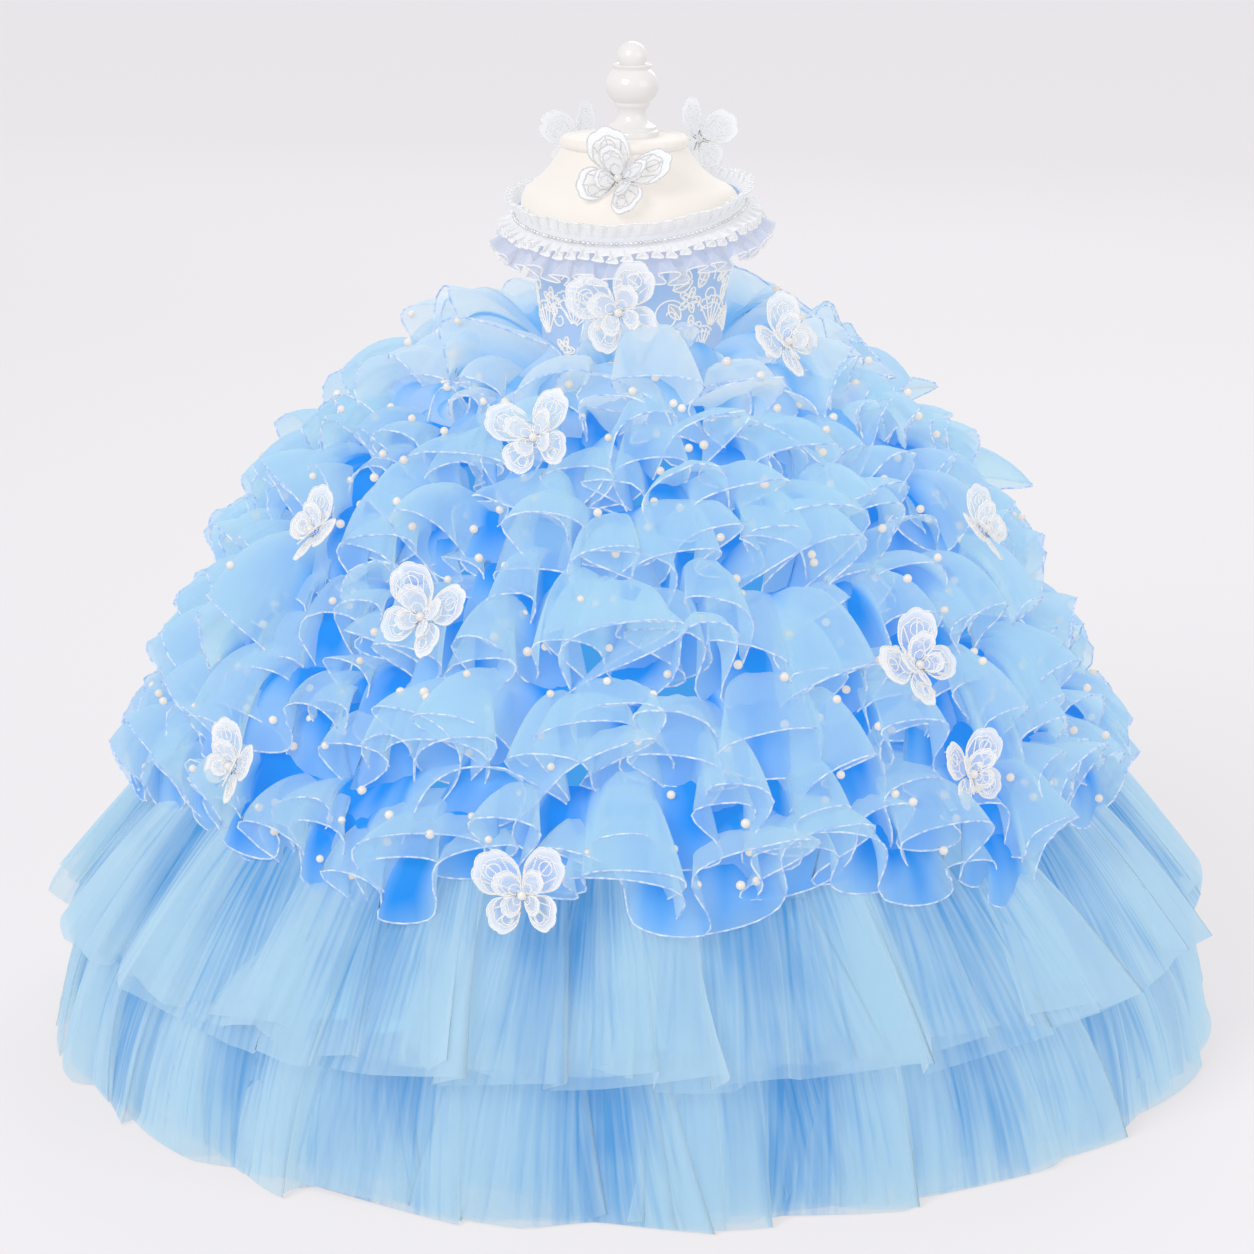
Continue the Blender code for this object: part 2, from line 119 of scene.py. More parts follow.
def new_group(kind, name, inputs, outputs):
    """A node group with named sockets, each a name, a kind and a value."""
    tree = bpy.data.node_groups.new(name, kind)
    for in_out, rows in (("INPUT", inputs), ("OUTPUT", outputs)):
        for label, socket, value in rows:
            made = tree.interface.new_socket(label, in_out=in_out, socket_type="NodeSocket" + socket)
            if value is not None:
                made.default_value = value
    return tree, tree.nodes.new("NodeGroupInput").outputs, tree.nodes.new("NodeGroupOutput").inputs


# %% Floor, world and lamps
FLOOR_SIZE = 30.0
PAPER_NEAR = (0.77, 0.762, 0.79)
PAPER_FAR = (0.862, 0.849, 0.883)
PAPER_TURNS_LIGHTER = (2.2, 3.9)
Lamp = namedtuple("Lamp", "name place target size power")
LAMPS = [
    Lamp("key", (-1.6, -2.4, 2.3), (0.0, 0.0, 0.3), 1.6, 32.0),
    Lamp("fill", (2.3, -1.8, 1.4), (0.0, 0.0, 0.3), 2.0, 9.0),
    Lamp("back", (0.6, 2.4, 2.0), (0.0, 0.0, 0.3), 2.0, 13.0),
]
LAMP_BOUNCES = 0
WORLD_COLOUR = (1.0, 0.99, 0.985, 1.0)
WORLD_STRENGTH = 0.92
SKY_REACH = 0.00001


def plain_material(name, colour, roughness):
    made = bpy.data.materials.new(name)
    made.use_nodes = True
    shader = made.node_tree.nodes["Principled BSDF"]
    shader.inputs["Base Color"].default_value = (*colour, 1.0)
    shader.inputs["Roughness"].default_value = roughness
    return made


def paper_material():
    """White paper that is a little lighter far behind the dress, where the lamps don't reach."""
    made = plain_material("floor_paper", PAPER_NEAR, 0.9)
    tree = made.node_tree
    place = add(tree, "ShaderNodeTexCoord").outputs["Object"]
    behind = add(tree, "ShaderNodeSeparateXYZ", {"Vector": place}).outputs["Y"]
    share = add(tree, "ShaderNodeMapRange", {
        "Value": behind,
        "From Min": PAPER_TURNS_LIGHTER[0],
        "From Max": PAPER_TURNS_LIGHTER[1],
    }, interpolation_type="SMOOTHSTEP").outputs[0]
    colour = blend_colours(tree, share, (*PAPER_NEAR, 1.0), (*PAPER_FAR, 1.0))
    plug(tree, tree.nodes["Principled BSDF"].inputs["Base Color"], colour)
    return made


half = FLOOR_SIZE / 2
corners = [(-half, -half, 0), (half, -half, 0), (half, half, 0), (-half, half, 0)]
floor_mesh = bpy.data.meshes.new("floor")
floor_mesh.from_pydata(corners, [], [(0, 1, 2, 3)])
floor_mesh.materials.append(paper_material())
floor = bpy.data.objects.new("floor", floor_mesh)
bpy.context.scene.collection.objects.link(floor)

world = bpy.data.worlds.new("studio")
bpy.context.scene.world = world
world.use_nodes = True
world.node_tree.nodes["Background"].inputs["Color"].default_value = WORLD_COLOUR
world.node_tree.nodes["Background"].inputs["Strength"].default_value = WORLD_STRENGTH
for lamp in LAMPS:
    data = bpy.data.lights.new(lamp.name, "AREA")
    data.size = lamp.size
    data.energy = lamp.power
    data.cycles.max_bounces = LAMP_BOUNCES
    made = bpy.data.objects.new(lamp.name, data)
    made.location = lamp.place
    made.rotation_euler = (Vector(lamp.target) - Vector(lamp.place)).to_track_quat("-Z", "Y").to_euler()
    bpy.context.scene.collection.objects.link(made)
bpy.context.scene.view_settings.view_transform = "Standard"
bpy.context.scene.view_settings.look = "None"
world.cycles.sampling_method = "NONE"
world.light_settings.distance = SKY_REACH
cycles = bpy.context.scene.cycles
cycles.transparent_max_bounces = 10
cycles.use_light_tree = False
cycles.use_fast_gi = True
cycles.fast_gi_method = "REPLACE"
cycles.ao_bounces_render = 1
print("lamps", len(LAMPS))

# %% [markdown]
# ## Sizes shared with the model
# The dress is described by a few tables: rings of the bust, the bell of the underskirt, and for each
# gathered strip where it is sewn on, where it bends and where its edge hangs. The same numbers made the
# solids, so a finer surface through them lies on its solid. All are in millimetres.

# %% Tables
# The bust's rings: level, half width, half depth and lean to one side
BUST = np.array([
    (384.0, 36.0, 35.0, 0.0),
    (390.0, 46.0, 44.0, 0.0),
    (402.0, 51.0, 48.5, 0.0),
    (420.0, 51.7, 49.5, 0.2),
    (441.0, 53.4, 51.0, 0.2),
    (468.0, 56.5, 54.0, 0.0),
    (488.0, 62.0, 59.5, -0.5),
    (503.0, 66.2, 63.5, -1.0),
    (514.5, 63.5, 60.5, -1.6),
    (519.0, 54.5, 53.0, -3.6),
    (528.0, 44.5, 44.0, -4.6),
    (539.5, 37.0, 37.0, -4.6),
])
BODICE_OUTWARD = 1.5
FRILL_OUTWARD = 3.6
WAIST = 419.0
NECK_MEAN = 505.5
NECK_RISE_TO_BACK = 6.5
NECK_SIDE_LIFT = 2.5
NECK_SLANT = 4.5
# The underskirt's bell: radius and level
UNDERSKIRT = np.array([
    (53.0, 417.9),
    (72.0, 409.0),
    (106.0, 384.0),
    (154.0, 336.0),
    (197.0, 281.0),
    (233.0, 220.0),
    (266.0, 150.0),
    (316.0, 6.0),
])
Flounce = namedtuple("Flounce", "name seam bend_radius bend_z edge_radius edge_z waves depth crowding seed")
RUFFLES = [
    Flounce("ruffle_1", 408.0, 111.0, 435.0, 138.0, 415.0, 13, 16.0, 0.5, 0.4),
    Flounce("ruffle_2", 384.0, 147.0, 404.0, 175.0, 379.0, 17, 18.0, 0.65, 1.9),
    Flounce("ruffle_3", 348.0, 185.0, 366.0, 214.0, 336.0, 20, 19.0, 0.8, 3.1),
    Flounce("ruffle_4", 304.0, 219.0, 320.0, 248.0, 286.0, 22, 19.0, 0.8, 4.6),
    Flounce("ruffle_5", 256.0, 250.0, 268.0, 279.0, 234.0, 23, 18.0, 0.8, 5.2),
    Flounce("ruffle_6", 210.0, 279.0, 214.0, 304.0, 184.0, 23, 14.0, 0.8, 0.9),
]
TULLES = [
    Flounce("tulle_upper", 190.0, 289.0, 160.0, 348.0, 88.0, 18, 9.0, 0.0, 1.3),
    Flounce("tulle_lower", 146.0, 326.0, 86.0, 352.0, 2.6, 20, 7.0, 0.0, 3.7),
]
Frill = namedtuple("Frill", "name drop outward upward width waves depth seed")
FRILLS = [
    Frill("frill_standing_lace", 2.0, 0.42, 0.91, 10.0, 14, 1.8, 0.7),
    Frill("frill_short_lace", 7.0, 0.92, -0.39, 13.0, 14, 2.4, 2.2),
    Frill("frill_organza", 10.5, 0.70, -0.71, 24.5, 16, 5.5, 4.1),
]
Butterfly = namedtuple("Butterfly", "name turn tilt roll span")
BUTTERFLIES = [
    Butterfly("butterfly_chest", -9.0, 38.0, -24.0, 55.0),
    Butterfly("butterfly_bodice", -4.0, 0.0, 18.0, 54.0),
    Butterfly("butterfly_back_left", -140.0, 0.0, -8.0, 44.0),
    Butterfly("butterfly_back_right", 142.0, 0.0, 14.0, 44.0),
    Butterfly("butterfly_skirt_1", -17.0, 30.0, 20.0, 50.0),
    Butterfly("butterfly_skirt_2", 46.0, 25.0, 38.0, 48.0),
    Butterfly("butterfly_skirt_3", -28.0, 25.0, -18.0, 52.0),
    Butterfly("butterfly_skirt_4", 37.0, 25.0, 36.0, 52.0),
    Butterfly("butterfly_skirt_5", 41.0, 12.0, 8.0, 46.0),
    Butterfly("butterfly_skirt_6", -10.5, 12.0, 6.0, 52.0),
    Butterfly("butterfly_skirt_7", -51.0, 15.0, -24.0, 46.0),
    Butterfly("butterfly_skirt_8", -57.0, 30.0, -40.0, 44.0),
    Butterfly("butterfly_skirt_9", 62.0, 30.0, 30.0, 44.0),
]
gathered_strips = [*RUFFLES, *TULLES, *FRILLS]
print("strips", len(gathered_strips), "waves", sum(strip.waves for strip in gathered_strips))

# %% Curves from the tables


def cut_corners(points, times):
    """The points of a chain with its corners cut off again and again, which rounds it."""
    chain = np.asarray(points, float)
    for _ in range(times):
        near = chain[:-1] * 0.75 + chain[1:] * 0.25
        far = chain[:-1] * 0.25 + chain[1:] * 0.75
        inner = np.stack([near, far], 1).reshape(-1, chain.shape[1])
        chain = np.vstack([chain[:1], inner, chain[-1:]])
    return chain


SMOOTH_BUST = cut_corners(BUST, 2)
SMOOTH_SKIRT = cut_corners(UNDERSKIRT, 2)


def neckline(turn):
    """The level of the bodice's top edge, low at the front and higher at one shoulder."""
    rise = -NECK_RISE_TO_BACK * np.cos(turn) - NECK_SIDE_LIFT * np.cos(2 * turn)
    return NECK_MEAN + rise + NECK_SLANT * np.sin(turn)


def on_bust(turn, z, outward):
    """Points this far outside the bust."""
    half_width, half_depth, lean = (np.interp(z, SMOOTH_BUST[:, 0], SMOOTH_BUST[:, i]) for i in (1, 2, 3))
    x = (half_width + outward) * np.sin(turn) + lean
    y = -(half_depth + outward) * np.cos(turn)
    return np.stack(np.broadcast_arrays(x, y, z), -1)


def on_circle(turn, radius, z):
    """Points at these turns from the front, radii and levels."""
    return np.stack(np.broadcast_arrays(radius * np.sin(turn), -radius * np.cos(turn), z), -1)


def skirt_radius(z):
    return np.interp(z, SMOOTH_SKIRT[::-1, 1], SMOOTH_SKIRT[::-1, 0])


def even_turns(count):
    return np.arange(count) * FULL_TURN / count


print("bust", len(SMOOTH_BUST), "rings, underskirt", len(SMOOTH_SKIRT), "rings")

# %% Unevenness round the dress
# No two folds of gathered cloth are alike. Each row is one sine round the dress: its height, how many
# times it rises in a turn, and how far the strip's seed shifts it.
Sine = namedtuple("Sine", "height waves shift")
DRIFT = [Sine(0.9, 2, 1.0), Sine(0.6, 3, 2.1)]
CROWDING = [Sine(0.9, 7, 1.3), Sine(0.6, 11, 2.7)]
SWELL = [Sine(6.0, 3, 0.8), Sine(4.0, 5, 2.0)]
FULLNESS = [Sine(0.15, 5, 1.7), Sine(0.1, 7, 3.1)]
UNEVENNESS = [Sine(0.3, 8, 2.3), Sine(0.26, 13, 0.7)]
CLIMB = [Sine(1.0, 4, 1.9), Sine(0.7, 7, 3.3)]
LEAN = [Sine(0.5, 6, 2.3), Sine(0.4, 10, 1.0)]
HEM = [Sine(1.0, 9, 1.0), Sine(0.7, 14, 2.0)]
FRILL_LEAN = [Sine(0.3, 9, 1.0)]


def sines(rows, turn, seed=1.0):
    return sum(row.height * np.sin(row.waves * turn + row.shift * seed) for row in rows)


def phase_at(turn, waves, seed):
    return waves * turn + sines(DRIFT, turn, seed)


print("sines", len(DRIFT + CROWDING + SWELL + FULLNESS + UNEVENNESS + CLIMB + LEAN + HEM + FRILL_LEAN))

# %% [markdown]
# ## Meshes and Geometry Nodes that the pieces share
# A strip of cloth is a grid of points: columns go round the dress and rows go from the seam to the free
# edge. Each point keeps how far across the cloth it lies, so that a material can be paler at the edge,
# with painted shade that is deepest at the seam.
# Gathering, cords, pearls and beads repeat by a rule, so Geometry Nodes make them, and the result is
# then made a plain mesh.

# %% Sheets of cloth


def new_object(name, mesh, material=None):
    """The mesh as an object of the scene."""
    made = bpy.data.objects.new(name, mesh)
    bpy.context.scene.collection.objects.link(made)
    if material is not None:
        mesh.materials.append(material)
    return made


def lengths_along(points):
    """How far along a chain of points each of them lies."""
    return np.concatenate([[0.0], np.cumsum(np.linalg.norm(np.diff(points, axis=0), axis=1))])


def sheet_object(name, grid, material, closed=True, rows_go_down=True, numbers=None, vectors=None):
    """A sheet through grid[row, column], points in millimetres, with a cloth UV in metres.

    numbers and vectors are kept on its points, each a grid of its own."""
    rows, columns = grid.shape[:2]
    spans = columns if closed else columns - 1
    row, column = np.meshgrid(np.arange(rows - 1), np.arange(spans), indexing="ij")
    beside = (column + 1) % columns
    corners = np.stack([
        row * columns + column,
        (row + 1) * columns + column,
        (row + 1) * columns + beside,
        row * columns + beside,
    ], -1)
    edge = grid[-1] if not closed else np.vstack([grid[-1], grid[-1, :1]])
    along = lengths_along(edge) * MM
    across = lengths_along(grid[:, 0]) * MM
    places = np.stack([
        np.stack([along[column], along[column], along[column + 1], along[column + 1]], -1),
        np.stack([across[row], across[row + 1], across[row + 1], across[row]], -1),
    ], -1)
    if not rows_go_down:
        corners = corners[..., ::-1]
        places = places[..., ::-1, :]
    mesh = bpy.data.meshes.new(name)
    mesh.from_pydata((grid.reshape(-1, 3) * MM).tolist(), [], corners.reshape(-1, 4).tolist())
    mesh.uv_layers.new(name="cloth").data.foreach_set("uv", places.reshape(-1).astype(np.float32))
    share = np.broadcast_to(np.linspace(0, 1, rows)[:, None], (rows, columns))
    for label, values in {"across": share, **(numbers or {})}.items():
        full = np.broadcast_to(values, (rows, columns)).astype(np.float32)
        mesh.attributes.new(label, "FLOAT", "POINT").data.foreach_set("value", full.reshape(-1))
    for label, values in (vectors or {}).items():
        full = np.broadcast_to(values, (rows, columns, 3)).astype(np.float32)
        mesh.attributes.new(label, "FLOAT_VECTOR", "POINT").data.foreach_set("vector", full.reshape(-1))
    mesh.shade_smooth()
    return new_object(name, mesh, material)


def points_of(obj, rows):
    """A sheet's points in millimetres, as its grid again."""
    flat = np.empty(len(obj.data.vertices) * 3, np.float32)
    obj.data.vertices.foreach_get("co", flat)
    return flat.reshape(rows, -1, 3).astype(float) / MM


def finish_piece(obj, slot, *nodes):
    """The piece rides on the model and stands for its nodes, whose solids are hidden. Its slot is not used.
    """
    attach(obj, ROOT)
    if nodes:
        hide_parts(*nodes)
    return obj


# The frame takes no area under 0.3 of the cut's rectangle. The mesh of ruffle_1_long has only 0.29 of its
# rectangle, so the area worked out for that one is a little more than it has.
SMALLEST_AREA_SHARE = 0.31


def declare_sheet(obj, grid, closed=True):
    """Works out the cut: as long as its free edge and as wide as the strip, with the area that the mesh
    has, or with the smallest share where that is more. Only its length and width are printed."""
    edge = np.vstack([grid[-1], grid[-1, :1]]) if closed else grid[-1]
    length = float(lengths_along(edge)[-1]) * MM
    widths = np.linalg.norm(np.diff(grid, axis=0), axis=-1).sum(0)
    width = float(widths.max()) * MM
    area = min(sum(face.area for face in obj.data.polygons), length * width)
    area = max(area, SMALLEST_AREA_SHARE * length * width)
    print(obj.name, "cut", round(length, 2), "x", round(width, 3), "m")


# %% The tree that gathers a strip
# A point's phase says where in its wave it lies. The cloth swings out along lift_way, to and fro along
# side_way and hangs along down_way, and it does so more towards its free edge, where across is 1.
RIPPLES_PER_WAVE = 3.0
RIPPLE_SHIFT = 1.0
SWAYS_PER_WAVE = -2.0
WRINKLES_PER_WAVE = 7.0
WRINKLE_DRIFTS_PER_WAVE = 2.3
WRINKLE_DRIFT = 2.5
WRINKLE_SLANT = 1.6

gather, given, result = new_group("GeometryNodeTree", "gather", [
    ("Geometry", "Geometry", None),
    ("Depth", "Float", 0.01),
    ("Sway", "Float", 0.0),
    ("Ripple", "Float", 0.0),
    ("Wrinkle", "Float", 0.0),
    ("Droop", "Float", 0.0),
    ("Material", "Material", None),
], [("Geometry", "Geometry", None)])


def read(name, kind="FLOAT"):
    """What the strip's points carry under this name."""
    made = add(gather, "GeometryNodeInputNamedAttribute", {"Name": name}, data_type=kind)
    return made.outputs["Attribute"]


def pushed(way, distance):
    """The point's own direction of this name, this long."""
    made = add(gather, "ShaderNodeVectorMath", {0: read(way, "FLOAT_VECTOR")}, operation="SCALE")
    plug(gather, made.inputs["Scale"], distance)
    return made.outputs[0]


def both(first, second):
    return add(gather, "ShaderNodeVectorMath", {0: first, 1: second}, operation="ADD").outputs[0]


def end_tree(tree, result, shape, material):
    """Plain meshes in place of instances, in this material, as the tree's result."""
    real = add(tree, "GeometryNodeRealizeInstances", {"Geometry": shape})
    dyed = add(tree, "GeometryNodeSetMaterial", {"Geometry": real.outputs[0], "Material": material})
    plug(tree, result["Geometry"], dyed.outputs[0])


phase = read("phase")
across = read("across")
wave = calc(gather, "SINE", phase)
fold = product(gather, given["Depth"], read("fullness"), across, wave)
ripples = calc(gather, "SINE", calc(gather, "MULTIPLY_ADD", phase, RIPPLES_PER_WAVE, RIPPLE_SHIFT))
ripple = product(gather, given["Ripple"], calc(gather, "POWER", across, 3.0), ripples)
sways = calc(gather, "SINE", calc(gather, "MULTIPLY", phase, SWAYS_PER_WAVE))
sway = product(gather, given["Sway"], calc(gather, "POWER", across, 1.5), sways)
drift = calc(gather, "SINE", calc(gather, "MULTIPLY", phase, WRINKLE_DRIFTS_PER_WAVE))
even = calc(gather, "MULTIPLY", phase, WRINKLES_PER_WAVE)
unsteady = calc(gather, "MULTIPLY_ADD", drift, WRINKLE_DRIFT, even)
wrinkles = calc(gather, "SINE", calc(gather, "MULTIPLY_ADD", across, WRINKLE_SLANT, unsteady))
wrinkle = product(gather, given["Wrinkle"], calc(gather, "SQRT", across), wrinkles)
droop = product(gather, given["Droop"], calc(gather, "POWER", across, 2.0), wave, -1.0)
lifted = pushed("lift_way", calc(gather, "ADD", fold, calc(gather, "ADD", ripple, wrinkle)))
swayed = pushed("side_way", calc(gather, "MULTIPLY_ADD", fold, read("lean"), sway))
offset = both(both(lifted, pushed("down_way", droop)), swayed)
placed = add(gather, "GeometryNodeSetPosition", {"Geometry": given["Geometry"], "Offset": offset})
end_tree(gather, result, placed.outputs[0], given["Material"])
print("gather", len(gather.nodes), "nodes")

# %% The tree that lays a cord along the edges of a mesh
cord, given, result = new_group("GeometryNodeTree", "cord", [
    ("Geometry", "Geometry", None),
    ("Radius", "Float", 0.0006),
    ("Sides", "Int", 5),
    ("Material", "Material", None),
], [("Geometry", "Geometry", None)])
line = add(cord, "GeometryNodeMeshToCurve", {"Mesh": given["Geometry"]})
ring = add(cord, "GeometryNodeCurvePrimitiveCircle", {
    "Resolution": given["Sides"],
    "Radius": given["Radius"],
})
tube = add(cord, "GeometryNodeCurveToMesh", {
    "Curve": line.outputs[0],
    "Profile Curve": ring.outputs[0],
    "Fill Caps": True,
})
soft = add(cord, "GeometryNodeSetShadeSmooth", {"Geometry": tube.outputs[0]})
end_tree(cord, result, soft.outputs[0], given["Material"])
print("cord", len(cord.nodes), "nodes")

# %% The tree that sews a pearl on each point
pearls, given, result = new_group("GeometryNodeTree", "pearls", [
    ("Geometry", "Geometry", None),
    ("Radius", "Float", 0.0026),
    ("Unevenness", "Float", 0.12),
    ("Seed", "Int", 5),
    ("Material", "Material", None),
], [("Geometry", "Geometry", None)])
ball = add(pearls, "GeometryNodeMeshIcoSphere", {"Radius": given["Radius"], "Subdivisions": 2})
smooth_ball = add(pearls, "GeometryNodeSetShadeSmooth", {"Geometry": ball.outputs["Mesh"]})
size = add(pearls, "FunctionNodeRandomValue", {
    2: calc(pearls, "SUBTRACT", 1.0, given["Unevenness"]),
    3: calc(pearls, "ADD", 1.0, given["Unevenness"]),
    "Seed": given["Seed"],
}, data_type="FLOAT")
spots = add(pearls, "GeometryNodeMeshToPoints", {"Mesh": given["Geometry"]})
sewn = add(pearls, "GeometryNodeInstanceOnPoints", {
    "Points": spots.outputs[0],
    "Instance": smooth_ball.outputs[0],
    "Scale": size.outputs[1],
})
end_tree(pearls, result, sewn.outputs[0], given["Material"])
print("pearls", len(pearls.nodes), "nodes")

# %% Running a tree


def grow(obj, tree, **values):
    """Runs the tree on obj with these inputs and keeps the result as obj's plain mesh."""
    step = obj.modifiers.new("grow", "NODES")
    step.node_group = tree
    for item in tree.interface.items_tree:
        if item.item_type == "SOCKET" and item.in_out == "INPUT" and item.name in values:
            step[item.identifier] = values[item.name]
    graph = bpy.context.evaluated_depsgraph_get()
    grown = obj.evaluated_get(graph)
    mesh = bpy.data.meshes.new_from_object(grown, preserve_all_data_layers=True, depsgraph=graph)
    obj.modifiers.clear()
    obj.data = mesh
    mesh.name = obj.name
    return obj


def chains_object(name, chains, closed=True):
    """A mesh of edges only, through each chain of points in millimetres."""
    vertices, edges = [], []
    for chain in chains:
        first = len(vertices)
        vertices += (np.asarray(chain) * MM).tolist()
        edges += [(i, i + 1) for i in range(first, len(vertices) - 1)]
        if closed:
            edges.append((len(vertices) - 1, first))
    mesh = bpy.data.meshes.new(name)
    mesh.from_pydata(vertices, edges, [])
    return new_object(name, mesh)


def cord_object(name, chains, radius, material, closed=True, sides=5):
    lines = chains_object(name, chains, closed)
    return grow(lines, cord, Radius=radius * MM, Sides=sides, Material=material)


def pearls_object(name, places, radius, material, unevenness=0.12):
    mesh = bpy.data.meshes.new(name)
    mesh.from_pydata((np.asarray(places) * MM).tolist(), [], [])
    points = new_object(name, mesh)
    return grow(points, pearls, Radius=radius * MM, Unevenness=unevenness, Material=material)


# %% [markdown]
# ## Finishes
# Organza and net are woven so open that light goes through them. One layer is pale, and the many layers
# in the depth of a fold soak up everything but blue, so these materials carry painted shade: a deep blue
# at the seam, a pale one at the free edge, paler fold ridges and darker valleys. They are denser where the
# cloth is seen along its face. Three node groups are shared by the cloths: a weave, a slow mottling, and
# painted crease lines of shade and highlight that run from seam to edge.

# %% Shared groups
# Nearly all of a noise lies between these two
NOISE_LOW = 0.3
NOISE_HIGH = 0.7

weave, given, result = new_group("ShaderNodeTree", "weave", [
    ("Threads per metre", "Float", 2500.0),
    ("Unevenness", "Float", 0.3),
], [("Height", "Float", None)])
uv = add(weave, "ShaderNodeUVMap", uv_map="cloth").outputs["UV"]
scaled = add(weave, "ShaderNodeVectorMath", {0: uv}, operation="SCALE")
plug(weave, scaled.inputs["Scale"], given["Threads per metre"])
parts = add(weave, "ShaderNodeSeparateXYZ", {0: scaled.outputs[0]})
over = calc(weave, "SINE", calc(weave, "MULTIPLY", parts.outputs[0], math.pi))
under = calc(weave, "SINE", calc(weave, "MULTIPLY", parts.outputs[1], math.pi))
slub = add(weave, "ShaderNodeTexNoise", {"Vector": uv, "Scale": 180.0, "Detail": 0.0})
woven = calc(weave, "MULTIPLY_ADD", calc(weave, "MULTIPLY", over, under), 0.5, 0.5)
uneven = calc(weave, "MULTIPLY", slub.outputs[0], given["Unevenness"])
plug(weave, result["Height"], calc(weave, "ADD", woven, uneven))

mottle, given, result = new_group("ShaderNodeTree", "mottle", [
    ("Scale", "Float", 30.0),
    ("Low", "Float", 0.0),
    ("High", "Float", 1.0),
], [("Share", "Float", None)])
place = add(mottle, "ShaderNodeTexCoord").outputs["Object"]
clouds = add(mottle, "ShaderNodeTexNoise", {"Vector": place, "Scale": given["Scale"], "Detail": 1.0})
spread = add(mottle, "ShaderNodeMapRange", {
    "Value": clouds.outputs[0],
    "From Min": NOISE_LOW,
    "From Max": NOISE_HIGH,
    "To Min": given["Low"],
    "To Max": given["High"],
})
plug(mottle, result["Share"], spread.outputs[0])

# Painted crease lines: light and dark lines in the colour stand for the shade and highlight of fine creases
painted_crease_streaks, given, result = new_group("ShaderNodeTree", "painted_crease_streaks", [
    ("Creases per metre", "Float", 90.0),
    ("Stretch", "Float", 7.0),
], [("Share", "Float", None)])
uv = add(painted_crease_streaks, "ShaderNodeUVMap", uv_map="cloth").outputs["UV"]
parts = add(painted_crease_streaks, "ShaderNodeSeparateXYZ", {0: uv})
fine = calc(painted_crease_streaks, "MULTIPLY", parts.outputs[0], given["Creases per metre"])
per_metre_across = calc(painted_crease_streaks, "DIVIDE", given["Creases per metre"], given["Stretch"])
coarse = calc(painted_crease_streaks, "MULTIPLY", parts.outputs[1], per_metre_across)
drawn_out = add(painted_crease_streaks, "ShaderNodeCombineXYZ", {0: fine, 1: coarse}).outputs[0]
lines = add(painted_crease_streaks, "ShaderNodeTexNoise", {"Vector": drawn_out, "Scale": 1.0, "Detail": 1.0})
spread = add(painted_crease_streaks, "ShaderNodeMapRange", {
    "Value": lines.outputs[0],
    "From Min": NOISE_LOW,
    "From Max": NOISE_HIGH,
    "To Min": -1.0,
})
plug(painted_crease_streaks, result["Share"], spread.outputs[0])
print("shared groups", weave.name, mottle.name, painted_crease_streaks.name)

# %% Sheer cloths


def group_node(tree, group, **values):
    """The output of a shared group with these inputs."""
    made = tree.nodes.new("ShaderNodeGroup")
    made.node_tree = group
    for label, value in values.items():
        plug(tree, made.inputs[label.replace("_", " ")], value)
    return made.outputs[0]


def bumped(tree, height, distance, strength=1.0):
    made = add(tree, "ShaderNodeBump", {"Height": height, "Distance": distance, "Strength": strength})
    return made.outputs[0]


MOTTLE_SCALE = 26.0
CLOTH_SPECULAR = 0.3
GRAZING = 0.35
WEAVE_STRENGTH = 0.6


